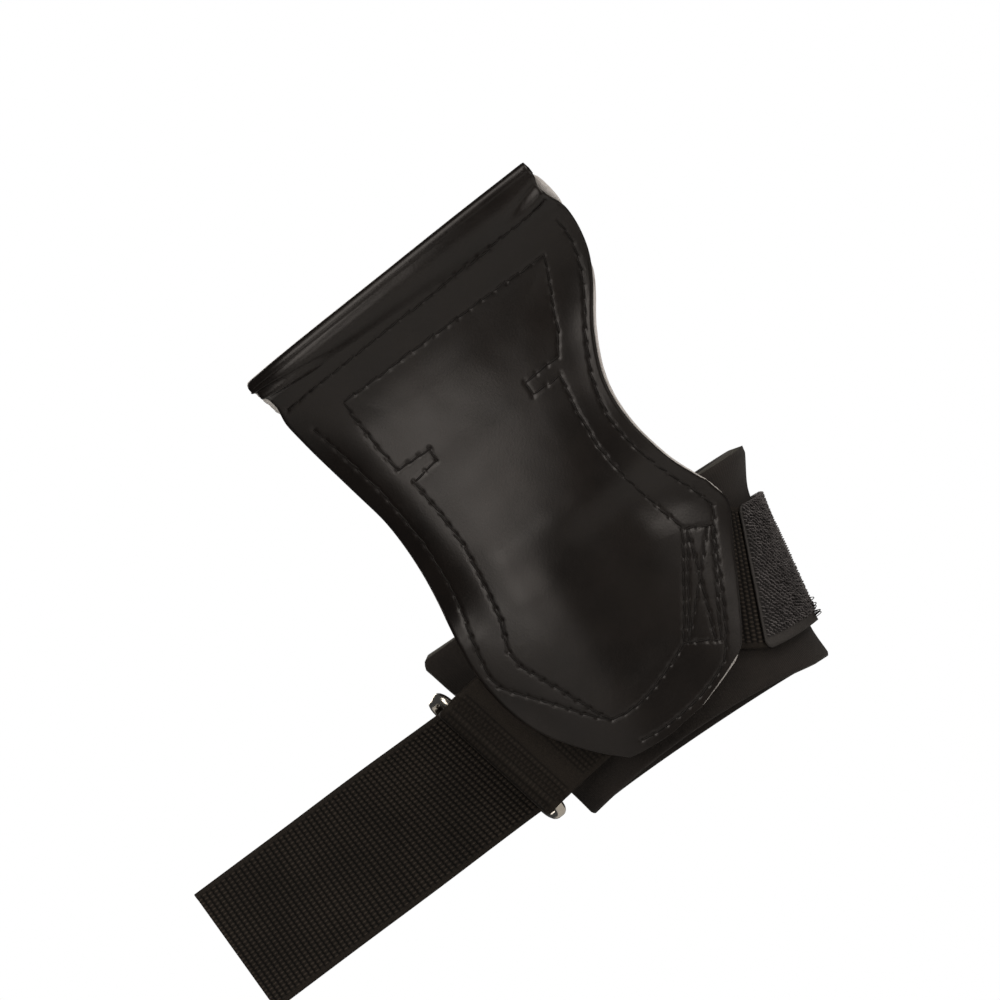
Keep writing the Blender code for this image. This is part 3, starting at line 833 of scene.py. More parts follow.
PALM_ROWS = 370
PALM_COLUMNS = 232
BACKING_ROWS = 220
BACKING_COLUMNS = 120
LEATHER_SOFTENING = 12
BACKING_SOFTENING = 3
FOLD_ROWS = 10
RETURN_ROWS = 10
SEAM_WIDTH = 0.55 * MM
SEAM_DEPTH = 0.13 * MM
HOLE_DEPTH = 0.26 * MM
PAD_HEIGHT = 0.3 * MM
PAD_SLOPE = 9 * MM
EDGE_ROUND = 0.3 * MM
EDGE_WIDTH = 0.5 * MM
HOLE_WIDTH = 0.5 * MM
PRESS_REACH = 3 * MM
BOX_DOUBLING = 0.16
HIDDEN_UNDER = 0.9 * MM
CURVE_STEPS = 60
FOLD_LENGTH = 13 * MM
FOLD_START = 6.6 * MM
FOLD_SLOPE = 0.3
FOLD_HEIGHT = 0.95 * MM
RIDGE_WIDTH = 1.7 * MM
VALLEY_WIDTH = 1.3 * MM
HEM_CREASE = 0.18 * MM
CREASE_WIDTH = 2.2 * MM
CREASE_ABOVE = 0.6 * MM
HEM_ROLL = 0.5 * MM
HEM_ROLL_REACH = 5 * MM

# The inner seams step inwards past these x, in millimetres, and the pad doesn't follow them there.
STEPS_BETWEEN = (-20, 13)

# The leather's waves and the fray of the suede's edge: height, size and seed.
LEATHER_WAVES = [(0.12 * MM, 38 * MM, 3), (0.02 * MM, 9 * MM, 5)]
FRAY = (0.16 * MM, 1.8 * MM, 11)
FRAY_WIDTH = 0.8 * MM

# Soft swells of the palm in millimetres: x, z, reach, rise.
BROAD_FORMS = [
    (-22, 42, 9, 0.5),
    (18, 26, 9, 0.5),
    (-30, 81, 9, 0.45),
    (-15, 85, 9, 0.5),
    (1, 89, 9, 0.4),
]


def box_seams():
    """The crossed box that holds the strap's end: four sides, a doubled long side and two diagonals."""
    top_left, top_right, low_right, low_left = (np.array(corner) for corner in BOX_CORNERS)
    inward = (top_right - top_left) * BOX_DOUBLING
    return [
        [top_left, top_right],
        [low_left, low_right],
        [top_left, low_left],
        [top_right, low_right],
        [top_left + inward, low_left + inward],
        [top_left + inward, low_right - inward],
        [top_right - inward, low_left + inward],
    ]


def rounded(points, smoothing):
    """A seam's line through its points: sharp at its corners, or smooth where it curves."""
    points = np.array(points, float) * MM
    if not smoothing:
        return points
    along = distances(points)
    return read_rows(along, points, np.linspace(0, along[-1], CURVE_STEPS))


def seam_lines():
    """Every seam of the leather as a line of the x and z of its stitches' ends."""
    curved = (OUTER_RIGHT_SEAM, OUTER_LEFT_SEAM, LOWER_LEFT_SEAM, HEEL_SEAM, HEM_SEAM)
    lines = [even_points(rounded(seam, True), STITCH_PITCH) for seam in curved]
    for seam in (INNER_TOP_SEAM, *box_seams(), INNER_RIGHT_SEAM, INNER_LEFT_SEAM):
        corners = rounded(seam, False)
        runs = [even_points(np.array(pair), STITCH_PITCH) for pair in zip(corners, corners[1:])]
        lines.append(np.concatenate([runs[0], *(run[1:] for run in runs[1:])]))
    return lines


def from_run(x, z, start, end):
    """For each place, the share of a straight run that it is nearest to, and how far it is from there."""
    run = end - start
    dx, dz = x - start[0], z - start[1]
    share = np.clip((dx * run[0] + dz * run[1]) / max(run @ run, 1e-12), 0, 1)
    return share, np.hypot(dx - share * run[0], dz - share * run[1])


def seam_press(x, z, lines):
    """How deep the seams press the leather at each place."""
    press = np.zeros(x.shape)
    for line in lines:
        for start, end in zip(line, line[1:]):
            length = np.linalg.norm(end - start)
            reach = length / 2 + PRESS_REACH
            middle = (start + end) / 2
            near = (np.abs(x - middle[0]) < reach) & (np.abs(z - middle[1]) < reach)
            if not near.any():
                continue
            share, away = from_run(x[near], z[near], start, end)
            hole = bell((np.abs(share - 0.5) - 0.5) * length / HOLE_WIDTH)
            depth = (SEAM_DEPTH + HOLE_DEPTH * hole) * bell(away / SEAM_WIDTH)
            press[near] = np.maximum(press[near], depth)
    return press


def inside(x, z, outline):
    """Whether each place lies inside a closed outline."""
    within = np.zeros(x.shape, bool)
    for (x0, z0), (x1, z1) in zip(outline, np.roll(outline, -1, axis=0)):
        if z0 == z1:
            continue
        crosses = (z0 > z) != (z1 > z)
        within ^= crosses & (x < x0 + (z - z0) * (x1 - x0) / (z1 - z0))
    return within


def distance_to(x, z, outline):
    """The distance of each place from a closed outline."""
    best = np.full(x.shape, 1.0)
    for start, end in zip(outline, np.roll(outline, -1, axis=0)):
        best = np.minimum(best, from_run(x, z, start, end)[1])
    return best


def pad_rise(x, z):
    """The raised pad inside the inner seams, which doesn't follow their steps."""
    right = [corner for corner in INNER_RIGHT_SEAM if corner[0] > STEPS_BETWEEN[1]]
    left = [corner for corner in INNER_LEFT_SEAM if corner[0] < STEPS_BETWEEN[0] or corner[1] < 0]
    outline = np.array(right + [BOX_CORNERS[3]] + HEEL_SEAM[::-1][1:] + left[::-1][1:]) * MM
    depth = distance_to(x, z, outline)
    return np.where(inside(x, z, outline), PAD_HEIGHT * smooth_step(depth, 0, PAD_SLOPE), 0)


def hem_folds(u, below):
    """The hem: rolled over at the edge, a soft crease, and a slanting fold at each end that fades inwards."""
    from_end = np.minimum(u, 1 - u) * PALM_WIDTH
    ridge = bell((below - FOLD_START - FOLD_SLOPE * from_end) / RIDGE_WIDTH)
    valley = bell((below - FOLD_START * 0.6 - FOLD_SLOPE * 0.8 * from_end) / VALLEY_WIDTH)
    crease = bell((below - HEM_DEPTH + CREASE_ABOVE) / CREASE_WIDTH)
    fade = bell(from_end / FOLD_LENGTH)
    rolled = HEM_ROLL * np.maximum(0, 1 - below / HEM_ROLL_REACH) ** 2
    return fade * FOLD_HEIGHT * (ridge - 0.8 * valley) - HEM_CREASE * crease - rolled


def heel_showing(u):
    """How far the suede shows past the heel: only along its right half, in a broken line at first."""
    broken = 0.75 + 0.25 * np.sin(u * 95)
    return HEEL_REVEAL * smooth_step(u, 0.6, 0.78) * (broken + (1 - broken) * smooth_step(u, 0.8, 0.9))


def side_reveals(v):
    """How far the leather stops inside the palm's outline on the left and on the right."""
    jagged = 0.3 * MM * (np.sin(v * 900) + np.sin(v * 1370 + 1))
    left_corner = smooth_step(v, 0.85, 0.9) * (1 - smooth_step(v, 0.965, 0.985))
    right_corner = smooth_step(v, 0.9, 0.945) * (1 - smooth_step(v, 0.97, 0.985))
    side = smooth_step(v, 0.27, 0.3) * (1 - smooth_step(v, 0.78, 0.84))
    left = (CORNER_REVEAL + jagged) * left_corner
    right = EDGE_REVEAL * 0.8 * side + HEEL_REVEAL * (1 - smooth_step(v, 0.1, 0.14))
    right = right + (CORNER_REVEAL + jagged) * right_corner
    return left, right


def palm_point(u, v, left, right, heel):
    """Points of the palm for shares of a width and length that stop short of its outline by these lengths."""
    v = heel / PALM_LENGTH + (1 - heel / PALM_LENGTH) * v
    steps = np.arange(len(PALM_EDGES)) / (len(PALM_EDGES) - 1)
    left_x, _, right_x, _ = (read_rows(steps, column, v) for column in zip(*PALM_EDGES))
    width = PALM_WIDTH * (right_x - left_x)
    return palm_base(left / width + (1 - (left + right) / width) * u, v)


def leather_base(u, v):
    """The suede's hand side under the leather's own width and length."""
    return palm_point(u, v, *side_reveals(v), heel_showing(u))


def backing_base(u, v):
    """The suede's hand side, which hides behind the leather wherever that reaches the outline."""
    left, right = (HIDDEN_UNDER * (1 - smooth_step(side, 0, 0.4 * MM)) for side in side_reveals(v))
    return palm_point(u, v, left, right, HIDDEN_UNDER * (1 - heel_showing(u)))


def leather_rows():
    """The leather's inner face: the palm, the fold over the finger edge and the hem behind it."""
    v, u = grid_of(np.linspace(0, 1, PALM_ROWS), PALM_COLUMNS)
    base = soften(leather_base(u, v), LEATHER_SOFTENING)
    up, out = grid_frame(base)
    below = (1 - v) * PALM_LENGTH
    puff = HEM_PUFF * np.sin(math.pi * np.minimum(1, below / HEM_DEPTH))
    front = base + out * (BACKING + LAYER_GAP + puff)[..., None]

    fold = BACKING / 2 + LAYER_GAP
    turn = np.pi * np.linspace(0, 1, FOLD_ROWS + 1)[1:-1, None, None]
    top, top_up, top_out = base[-1], up[-1], out[-1]
    bend = top + top_out * (BACKING / 2 + fold * np.cos(turn)) + top_up * fold * np.sin(turn)

    v_back, u_back = grid_of(np.linspace(1, 1 - HEM_DEPTH / PALM_LENGTH, RETURN_ROWS), PALM_COLUMNS)
    behind = leather_base(u_back, v_back)
    behind = behind + grid_frame(behind)[1] * LAYER_GAP
    return np.concatenate([front, bend, behind]), u, v, below


def build_leather(lines):
    """The black leather with its seams, pad, hem folds and soft dents."""
    inner, u, v, below = leather_rows()
    _, out = grid_frame(inner)
    outer = inner + out * LEATHER
    front = outer[:PALM_ROWS]
    x, z = front[..., 0], front[..., 2]
    edge = np.minimum(u, 1 - u) * PALM_WIDTH
    relief = pad_rise(x, z) - seam_press(x, z, lines)
    relief += hem_folds(u, below)
    for form_x, form_z, reach, rise in BROAD_FORMS:
        away = np.hypot(x / MM - form_x, z / MM - form_z)
        relief += rise * MM * bell(away / reach)
    relief += sum(height * ripple(front, size, seed) for height, size, seed in LEATHER_WAVES)
    relief -= EDGE_ROUND * bell(edge / EDGE_WIDTH)
    outer[:PALM_ROWS] += out[:PALM_ROWS] * relief[..., None]
    bend = slice(PALM_ROWS, PALM_ROWS + FOLD_ROWS - 1)
    fade = np.linspace(1, 0, FOLD_ROWS + 1)[1:-1, None, None]
    outer[bend] += out[bend] * relief[-1][None, :, None] * fade
    flat = np.stack([inner[..., 0], inner[..., 2]], -1)
    leather = build_shell("leather_palm", outer, inner, flat, (LEATHER_LOOK, CUT_LEATHER_LOOK), 4)
    return leather, outer[:PALM_ROWS], out[:PALM_ROWS]


def build_backing():
    """The suede layer with a rough cut edge."""
    v, u = grid_of(np.linspace(0, 1, BACKING_ROWS), BACKING_COLUMNS)
    base = soften(backing_base(u, v), BACKING_SOFTENING)
    _, out = grid_frame(base)
    edge = np.minimum(np.minimum(u, 1 - u) * PALM_WIDTH, v * PALM_LENGTH)
    height, size, seed = FRAY
    fray = height * ripple(base, size, seed) * bell(edge / FRAY_WIDTH)
    front = base + out * BACKING + out * fray[..., None]
    base = base + out * fray[..., None]
    flat = np.stack([base[..., 0], base[..., 2]], -1)
    suede = build_shell("suede_backing", front, base, flat, (SUEDE_LOOK, SUEDE_LOOK), 2)
    return suede, front, base, out


def seam_points(lines, surface, out):
    """The middle of each stitch on the leather, with the way it faces and heads."""
    places, facing, heading = [], [], []
    flat_surface, flat_out = surface.reshape(-1, 3), out.reshape(-1, 3)
    x, z = flat_surface[:, 0], flat_surface[:, 2]
    for line in lines:
        for start, end in zip(line, line[1:]):
            first, middle, last = (
                int(np.argmin((x - point[0]) ** 2 + (z - point[1]) ** 2))
                for point in (start, (start + end) / 2, end)
            )
            places.append(flat_surface[middle])
            facing.append(flat_out[middle])
            heading.append(flat_surface[last] - flat_surface[first])
    return np.array(places), unit(np.array(facing)), unit(np.array(heading))


def build_stitches(lines, front, front_out, rear, rear_out):
    """The thread of every seam: on the leather, and on the suede's hand side above the cuff."""
    on_leather = seam_points(lines, front, front_out)
    through = [line for line in lines if line[:, 1].max() < HEM_SEAM[0][1] * MM]
    behind = seam_points(through, rear, -rear_out)
    seen = behind[0][:, 2] > CUFF_BOTTOM + CUFF_HEIGHT + 2 * MM
    both = [np.concatenate([values, more[seen]]) for values, more in zip(on_leather, behind)]
    return run_tree(point_cloud("palm_stitches", *both), STITCHES, {"Material": THREAD_LOOK})


# The cuff

CUT_EDGE_ROUND = 0.45 * MM
CUT_CORNER = CUFF_CORNER * 0.4
CUFF_WAVE = 0.1 * MM
CUFF_WAVE_SIZE = 26 * MM
CUFF_COLUMNS = 320
CUFF_GRID_ROWS = 80


def build_cuff():
    """The padded cuff, cut square from its sheet with hardly rounded edges."""
    up, share = grid_of(np.linspace(0, 1, CUFF_GRID_ROWS), CUFF_COLUMNS)
    angle = CUFF_FRONT_END + (CUFF_BACK_END - CUFF_FRONT_END) * share
    middle = np.full(angle.shape, CUFF_BOTTOM + CUFF_HEIGHT / 2)
    along = distances(inner_wrist(angle[0], middle[0]))
    from_end = np.minimum(along, along[-1] - along)[None, :] + 0 * angle
    drop = round_corner(from_end, CUT_CORNER)
    rise = CUFF_HEEL_RISE * np.maximum(0, np.cos(angle)) ** 2
    low, high = CUFF_BOTTOM + drop + rise, CUFF_BOTTOM + CUFF_HEIGHT - drop
    z = low + (high - low) * up
    edge = np.minimum(np.minimum(up, 1 - up) * CUFF_HEIGHT, from_end)
    inset = round_corner(edge, CUT_EDGE_ROUND)
    inner = on_cuff(angle, z, inset)
    wave = CUFF_WAVE * ripple(inner, CUFF_WAVE_SIZE, 21)
    outer = on_cuff(angle, z, CUFF_WALL - inset + wave)
    flat = np.stack([np.broadcast_to(along[None, :], angle.shape), z], -1)
    return build_shell("foam_cuff", outer, inner, flat, (KNIT_LOOK, FOAM_LOOK), 2)


# Webbing

# Where the points of a line across a webbing stand, as shares of its half width, closer at its edges.
EDGE_SHARES = np.array([0.91, 0.945, 0.975, 1])
ACROSS = np.concatenate([-EDGE_SHARES[::-1], np.linspace(-0.86, 0.86, 12), EDGE_SHARES])
TAB_SIDES = ACROSS * 1.045 - 0.035
SELVAGE = 1.6 * MM
SAMPLES_A_RIB = 5
WRIST_LINES = 70
BEND_LINES = 12
TAUT_LINES = 10
FREE_LINES = 22
TAB_LINES = 24
EDGE_THINNING = 0.3 * MM
THINNING_WIDTH = 0.5 * MM
TAB_GROOVES = (5.9 * MM, 7.5 * MM)
GROOVE_HALF_WIDTH = 0.4 * MM
GROOVE_DEPTH = 0.8 * MM
TAB_PLAIN_FROM = (9 * MM, 11 * MM)
TAB_FAINT_FROM = (14 * MM, 17 * MM)
LEAST_PLAIN = 0.4


def strap_course(angles, lift, half):
    """The strap's middle height at angles round the cuff, its top's lead, and half its height."""
    height, ahead = read_table(STRAP_ROWS, np.degrees(angles))
    height, ahead = STRAP_WIDTH * height, np.radians(ahead) / 2
    top, bottom = (on_cuff(angles + turn, height, lift) for turn in (ahead, -ahead))
    shift = np.linalg.norm(top - bottom, axis=-1) / 2
    return height, ahead, np.sqrt(np.maximum(half**2 - shift**2, (half / 2) ** 2))


def strap_ribs():
    """Lines of points across the strap's inner face, from its sewn end to its free end."""
    half = STRAP_WIDTH / 2
    angles = np.linspace(math.radians(STRAP_ROWS[0][0]), STRAP_LEAVES_AT, WRIST_LINES)
    height, ahead, rise = (values[:, None] for values in strap_course(angles, STRAP_LIFT, half))
    round_wrist = on_cuff(angles[:, None] + ACROSS * ahead, height + ACROSS * rise, STRAP_LIFT)

    outer_bar = INNER_BAR + RING_ACROSS * RING_SPACING
    radius = WIRE / 2 + LAYER_GAP + WEBBING
    away = (round_wrist[-1, 0] + round_wrist[-1, -1]) / 2 - outer_bar
    away = np.array([-away @ RING_LEFT, -away @ RING_BACK])
    arrives = math.atan2(away[1], away[0]) + math.acos(radius / np.linalg.norm(away))
    turns = np.linspace(arrives, math.pi / 2, BEND_LINES)[:, None]
    middles = outer_bar - (RING_LEFT * np.cos(turns) + RING_BACK * np.sin(turns)) * radius
    bend = middles[:, None, :] + ACROSS[:, None] * half * RING_UP
    share = np.linspace(0, 1, TAUT_LINES)[1:-1, None, None]
    taut = round_wrist[-1] * (1 - share) + bend[0] * share

    share = np.linspace(0, 1, FREE_LINES)[1:]
    start = outer_bar - RING_BACK * radius
    forward = np.sin(math.pi * share) * FREE_FORWARD / 4 - (share**1.5) * FREE_FORWARD
    middles = start + np.stack([-share * FREE_LENGTH, forward, -share * FREE_DROP], -1)
    end_up = unit(np.array([-math.sin(FREE_LEAN), math.sin(FREE_TWIST), math.cos(FREE_TWIST)]))
    mixed = smooth_step(share, 0, 0.7)[:, None]
    turned = unit(RING_UP * (1 - mixed) + end_up * mixed)
    free = middles[:, None, :] + turned[:, None, :] * ACROSS[:, None] * half
    return np.concatenate([round_wrist, taut, bend, free])


def tab_leg(lift, ring_side, share):
    """Lines of points across one leg of the tab, from its sewn end to the ring."""
    side = TAB_SIDES * STRAP_WIDTH / 2
    at_ring = INNER_BAR + RING_BACK * TAB_FOLD * ring_side
    lean = (TAB_END_LEAN + (RING_LEAN - TAB_END_LEAN) * share)[:, None]
    x = (TAB_END + (at_ring[0] - TAB_END) * share)[:, None] - side * np.sin(lean)
    z = (TAB_END_HEIGHT + (at_ring[2] - TAB_END_HEIGHT) * share)[:, None] + side * np.cos(lean)
    y = smooth_min(front_of_cuff(x, z, lift), at_ring[1], TAB_EASE)
    return np.stack([x, y, z], -1)


def tab_ribs():
    """Lines of points across the tab's inner face: rear leg, fold round the ring, front leg."""
    share = np.linspace(0, 1, TAB_LINES)
    turn = np.pi * np.linspace(0, 1, BEND_LINES)[1:-1, None, None]
    side = TAB_SIDES[:, None] * STRAP_WIDTH / 2 * RING_UP
    fold = INNER_BAR + (RING_BACK * np.cos(turn) + RING_LEFT * np.sin(turn)) * TAB_FOLD + side
    return np.concatenate([tab_leg(REAR_TAB_LIFT, 1, share), fold, tab_leg(FRONT_TAB_LIFT, -1, share)[::-1]])


def build_webbing(name, ribs, plain=np.zeros_like, grooves=()):
    """A ribbed webbing on lines of points across it.

    plain says where along it the ribs fade, and grooves how far from its middle it is creased.
    """
    along = distances(ribs.mean(axis=1))
    fine = np.arange(0, along[-1], RIB_PITCH / SAMPLES_A_RIB)
    base = read_rows(along, ribs, fine)
    across = (ACROSS + 1) / 2 * STRAP_WIDTH
    ease = np.minimum(across, STRAP_WIDTH - across)
    thin = EDGE_THINNING * bell(ease / THINNING_WIDTH)[None, :, None]
    out = unit(np.cross(np.gradient(base, axis=0), np.gradient(base, axis=1)))
    creased = np.zeros_like(fine)
    for groove in grooves:
        creased += bell((np.abs(fine - along[-1] / 2) - groove) / GROOVE_HALF_WIDTH)
    outer = base + out * (WEBBING - thin) - out * (GROOVE_DEPTH * creased)[:, None, None]
    inner = base + out * thin
    flat = np.stack(np.broadcast_arrays(fine[:, None], across[None, :]), -1)
    ribbed = (1 - plain(fine))[:, None] * smooth_step(ease, SELVAGE * 0.5, SELVAGE)[None, :]
    grids = (grid.transpose(1, 0, 2) for grid in (outer, inner, flat))
    piece = build_shell(name, *grids, (WEBBING_LOOK, WEBBING_LOOK))
    for title, values in (("along", flat[..., 0]), ("ribbed", ribbed)):
        layer = piece.data.attributes.new(title, "FLOAT", "POINT")
        layer.data.foreach_set("value", np.tile(values.T.reshape(-1), 2).astype(np.float32))
    return run_tree(piece, RIBS, {"Material": WEBBING_LOOK})


def tab_plain(along):
    """How plain the tab is: least by the ring, most just beyond it, and less again towards the leather."""
    from_fold = np.abs(along - along[-1] / 2)
    faint = 0.6 * smooth_step(from_fold, *TAB_FAINT_FROM)
    return np.maximum(smooth_step(from_fold, *TAB_PLAIN_FROM) * (1 - faint), LEAST_PLAIN)


# The hook patch

PATCH_LIFT = STRAP_LIFT + WEBBING + PATCH_GAP
PATCH_CORNER = 2 * MM


def patch_grid(lift, columns, rows):
    """A grid of points on the strap's outside for the patch, with its flat sizes."""
    angles = np.linspace(PATCH_START, PATCH_END, columns)
    height, ahead, rise = strap_course(angles, lift, PATCH_HALF)
    along = distances(on_cuff(angles, height, lift))
    trim = round_corner(along, PATCH_CORNER) / PATCH_HALF
    side = np.linspace(-1, 1, rows)[:, None] * (1 - trim)
    points = on_cuff(angles + side * ahead, height + side * rise, lift)
    return points, np.stack(np.broadcast_arrays(along[None, :], side * PATCH_HALF), -1)


def build_patch():
    """The hook tape's ground, with rounded corners."""
    inner, flat = patch_grid(PATCH_LIFT, 180, 40)
    outer, _ = patch_grid(PATCH_LIFT + TAPE, 180, 40)
    return build_shell("hook_ground", outer, inner, flat, (TAPE_LOOK, TAPE_LOOK))


def hook_field():
    """The tape's outside as a fine grid: its points, flat sizes, and the ways up and out."""
    points, flat = patch_grid(PATCH_LIFT + TAPE, 400, 120)
    return points, flat, *grid_frame(points)


def build_hooks():
    """The field of hooks inside the tape's plain edges: staggered rows of slanting loops."""
    points, flat, up, out = hook_field()
    slanting = np.cross(up, out) * math.cos(HOOK_LEAN) - up * math.sin(HOOK_LEAN)
    length = flat[0, -1, 0]
    last_line, last_column = points.shape[0] - 1, points.shape[1] - 1
    chance = np.random.default_rng(4)
    lines, columns = [], []
    for row, across in enumerate(np.arange(-PATCH_HALF + LOWER_BORDER, PATCH_HALF, HOOK_PITCH / 2)):
        for along in np.arange(SIDE_BORDER + (row % 2) * HOOK_PITCH / 2, length - SIDE_BORDER, HOOK_PITCH):
            jitter = chance.normal(scale=0.05 * MM, size=2)
            columns.append(int(round((along + jitter[0]) / length * last_column)))
            line = int(round((across + jitter[1] + PATCH_HALF) / (2 * PATCH_HALF) * last_line))
            lines.append(min(line, last_line))
    cloud = point_cloud("hooks", *(grid[lines, columns] for grid in (points, out, slanting)))
    return run_tree(cloud, HOOKS, {"Material": HOOK_LOOK})


def build_pulled_hooks():
    """A few hooks pulled long at the field's lower edge on the thumb side."""
    points, flat, up, out = hook_field()
    chance = np.random.default_rng(11)
    across = -PATCH_HALF + LOWER_BORDER + chance.uniform(0, PULLED_DEPTH, PULLED_HOOKS)
    angles = chance.uniform(PULLED_FROM, PULLED_TO, PULLED_HOOKS)
    lines = np.searchsorted(flat[:, 0, 1], across)
    columns = ((angles - PATCH_START) / (PATCH_END - PATCH_START) * (points.shape[1] - 1)).astype(int)
    cloud = point_cloud("pulled_hooks", *(grid[lines, columns] for grid in (points, out, up)))
    return run_tree(cloud, HOOKS, {
        "Hook Height": 1.7 * MM,
        "Hook Width": 1.5 * MM,
        "Strand Radius": 0.14 * MM,
        "Unevenness": 1.2,
        "Seed": 3,
        "Material": THREAD_LOOK,
    })


# The ring

CORNER_STEPS = 12
WIRE_SIDES = 20


def build_ring():
    """The wire ring, round and smooth, whose corners are quarter turns joined by straight bars."""
    half_long = STRAP_WIDTH / 2 + RING_SIDE_ROOM + WIRE / 2
    middle = INNER_BAR + RING_ACROSS * RING_SPACING / 2
    centres = []
    for quarter in range(4):
        along = 1 if quarter in (0, 1) else -1
        aside = 1 if quarter in (0, 3) else -1
        centre = middle + RING_UP * along * (half_long - RING_CORNER)
        centre = centre + RING_ACROSS * aside * (RING_SPACING / 2 - RING_CORNER)
        for turn in np.linspace(0, math.pi / 2, CORNER_STEPS) + quarter * math.pi / 2:
            centres.append(centre + (RING_ACROSS * math.cos(turn) + RING_UP * math.sin(turn)) * RING_CORNER)
    centres = np.array(centres)
    plane = np.cross(RING_ACROSS, RING_UP)
    run = unit(np.roll(centres, -1, axis=0) - np.roll(centres, 1, axis=0))
    side = unit(np.cross(run, plane))
    turn = np.linspace(0, 2 * math.pi, WIRE_SIDES, endpoint=False)[:, None]
    rings = centres[:, None, :] + (side[:, None, :] * np.cos(turn) + plane * np.sin(turn)) * WIRE / 2
    number = np.arange(len(centres) * WIRE_SIDES).reshape(-1, WIRE_SIDES)
    ahead, beside = np.roll(number, -1, axis=0), np.roll(number, -1, axis=1)
    faces = np.stack([number, beside, np.roll(ahead, -1, axis=1), ahead], -1).reshape(-1, 4)
    mesh = bpy.data.meshes.new("ring_wire")
    mesh.from_pydata(rings.reshape(-1, 3).tolist(), [], faces.tolist())
    mesh.shade_smooth()
    shape = bmesh.new()
    shape.from_mesh(mesh)
    bmesh.ops.recalc_face_normals(shape, faces=shape.faces)
    shape.to_mesh(mesh)
    shape.free()
    return link("ring_wire", mesh, NICKEL_LOOK)


# Stage

PHOTO_WIDTH = 263.2 * MM
CAMERA_DISTANCE = 1.2
CAMERA_PLANE = -34 * MM
CAMERA_AIM = (-10.6 * MM, 54.4 * MM)
CAMERA_ROLL = math.radians(34)
FLOOR_DROP = 0.2
FLOOR_RADIUS = 0.55
LIGHT_AIM = (0, -0.03, 0.04)
LIGHT_COLOUR = (1, 0.92, 0.85)
UPPER_PALM = (-0.0115, -0.045, 0.0836)
LOWER_PALM = (-0.0205, -0.045, 0.0398)
WHITE = (1, 1, 1, 1)

# Each light's azimuth, elevation, size and power, and for the near ones their aim, distance and beam.
LIGHTS = {
    "key": (-24, 26, 0.6, 2.9),
    "low_left": (-36, -19, 0.4, 0.2),
    "upper_palm": (-15, -12, 0.1, 0.0039, UPPER_PALM, 0.3, 35),
    "lower_palm": (-28, -6, 0.06, 0.0015, LOWER_PALM, 0.25, 30),
    "right": (50, 0, 0.35, 1.5),
    "thumb_side": (76, 24, 0.4, 2.6),
    "top": (0, 52, 0.5, 1.9),
    "back": (200, 20, 0.6, 3),
}


def build_camera():
    """The camera at the photograph's place: level with the palm and rolled."""
    camera = bpy.data.cameras.new("camera")
    camera.angle = 2 * math.atan(PHOTO_WIDTH / 2 / CAMERA_DISTANCE)
    made = link("camera", camera)
    upright = Matrix.Rotation(math.pi / 2, 4, "X")
    roll = Matrix.Rotation(-CAMERA_ROLL, 4, "Z")
    place = Matrix.Translation((CAMERA_AIM[0], CAMERA_PLANE - CAMERA_DISTANCE, CAMERA_AIM[1]))
    made.matrix_world = place @ upright @ roll
    bpy.context.scene.camera = made


def add_light(name, azimuth, elevation, size, power, aim=LIGHT_AIM, distance=1.0, beam=180):
    """A square soft light facing its aim; azimuth goes from the palm's side towards the thumb's."""
    round_by, up_by = math.radians(azimuth), math.radians(elevation)
    level = math.cos(up_by)
    away = Vector((math.sin(round_by) * level, -math.cos(round_by) * level, math.sin(up_by)))
    light = bpy.data.lights.new(name, "AREA")
    light.shape = "SQUARE"
    light.size = size
    light.energy = power
    light.color = LIGHT_COLOUR
    light.spread = math.radians(beam)
    made = link(name, light)
    made.location = Vector(aim) + away * distance
    made.visible_camera = False
    made.rotation_euler = away.to_track_quat("Z", "Y").to_euler()


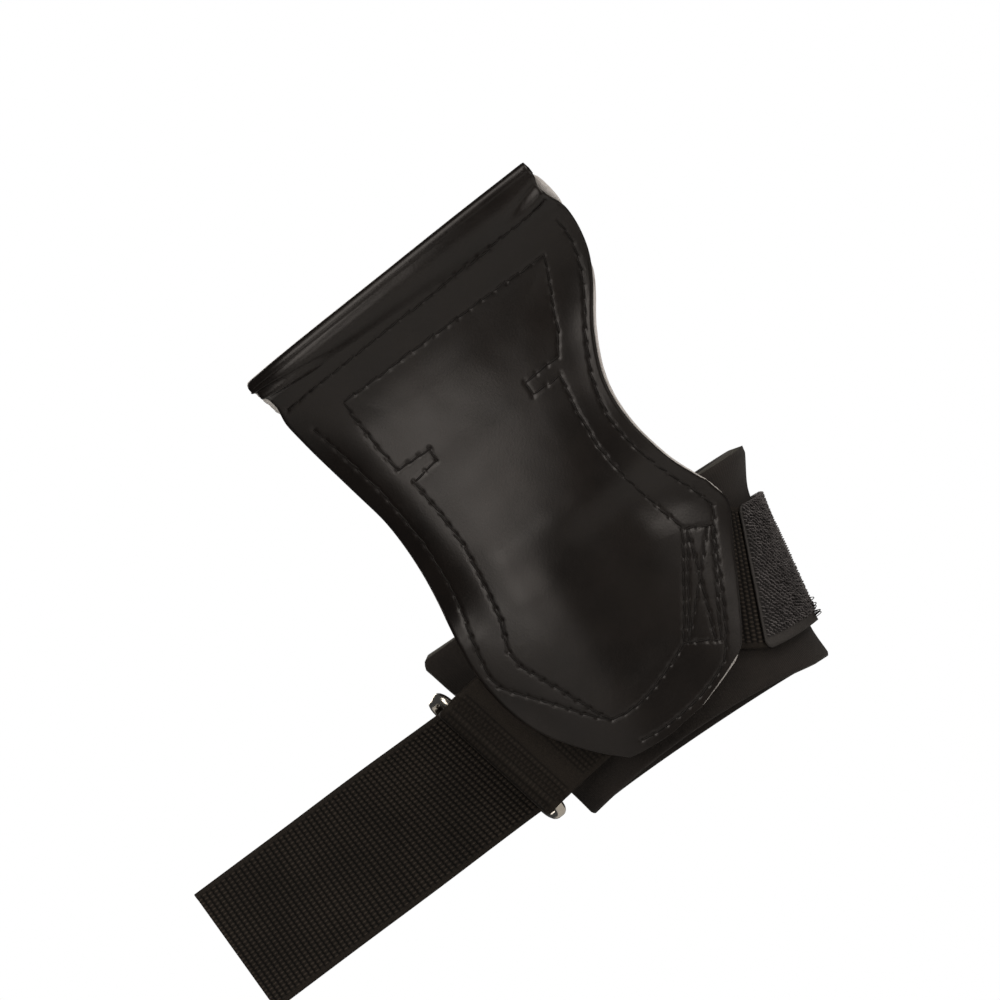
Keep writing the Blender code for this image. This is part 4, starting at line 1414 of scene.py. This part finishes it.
def build_surround():
    """A surround that the camera sees as white, and that lights the glove only faintly."""
    world = bpy.data.worlds.new("surround")
    bpy.context.scene.world = world
    world.use_nodes = True
    tree = world.node_tree
    seen = tree.nodes["Background"]
    seen.inputs["Strength"].default_value = 1.0
    seen.inputs["Color"].default_value = WHITE
    felt = output(tree, "ShaderNodeBackground", Color=WHITE, Strength=0.05)
    camera_ray = output(tree, "ShaderNodeLightPath", "Is Camera Ray")
    mixed = output(tree, "ShaderNodeMixShader", i0=camera_ray, i1=felt, i2=Value(seen.outputs[0]))
    tree.links.new(mixed.socket, tree.nodes["World Output"].inputs["Surface"])


def build_stage():
    """A pale round floor below, a white surround and soft studio lights."""
    floor = bmesh.new()
    bmesh.ops.create_circle(floor, cap_ends=True, segments=96, radius=FLOOR_RADIUS)
    mesh = bpy.data.meshes.new("floor")
    floor.to_mesh(mesh)
    floor.free()
    mesh.transform(Matrix.Translation((0, 0, cad_box[0][2] - FLOOR_DROP)))
    link("floor", mesh, floor_material())
    build_surround()
    for name, place in LIGHTS.items():
        add_light(name, *place)
    bpy.context.scene.view_settings.view_transform = "Standard"


def dress(piece, node=None, slot=None):
    """Let a piece ride on the glove and, unless a slot is given, stand for its solid, which is hidden."""
    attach(piece, "root")
    if slot:
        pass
    else:
        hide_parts(node)
    return piece


def cut_area(points):
    """The area of a grid of points."""
    cell = np.cross(points[1:, 1:] - points[:-1, :-1], points[1:, :-1] - points[:-1, 1:])
    return float(np.linalg.norm(cell, axis=-1).sum() / 2)


def main():
    """Build every piece of the glove and set the stage; the areas of the leather and the suede are worked out
    but not used.
    """
    build_camera()
    lines = seam_lines()
    leather, surface, out = build_leather(lines)
    dress(leather, "palm_leather")
    suede, suede_front, suede_rear, suede_out = build_backing()
    dress(suede, "palm_backing")
    cuff = dress(build_cuff(), "wrist_cuff")
    dress(build_webbing("strap_webbing", strap_ribs()), "elastic_strap")
    dress(build_webbing("tab_webbing", tab_ribs(), tab_plain, TAB_GROOVES), "ring_tab")
    dress(build_patch(), "hook_patch")
    dress(build_ring(), "wire_ring")
    dress(build_hooks(), slot="hook_patch")
    dress(build_pulled_hooks(), slot="hook_patch")
    stitches = build_stitches(lines, surface, out, suede_rear, suede_out)
    dress(stitches, slot="palm_leather")
    hem = PALM_WIDTH * 1.02 * (HEM_DEPTH + math.pi * (BACKING + LEATHER))
    cut_area(surface) + hem
    cut_area(suede_front)
    build_stage()


main()
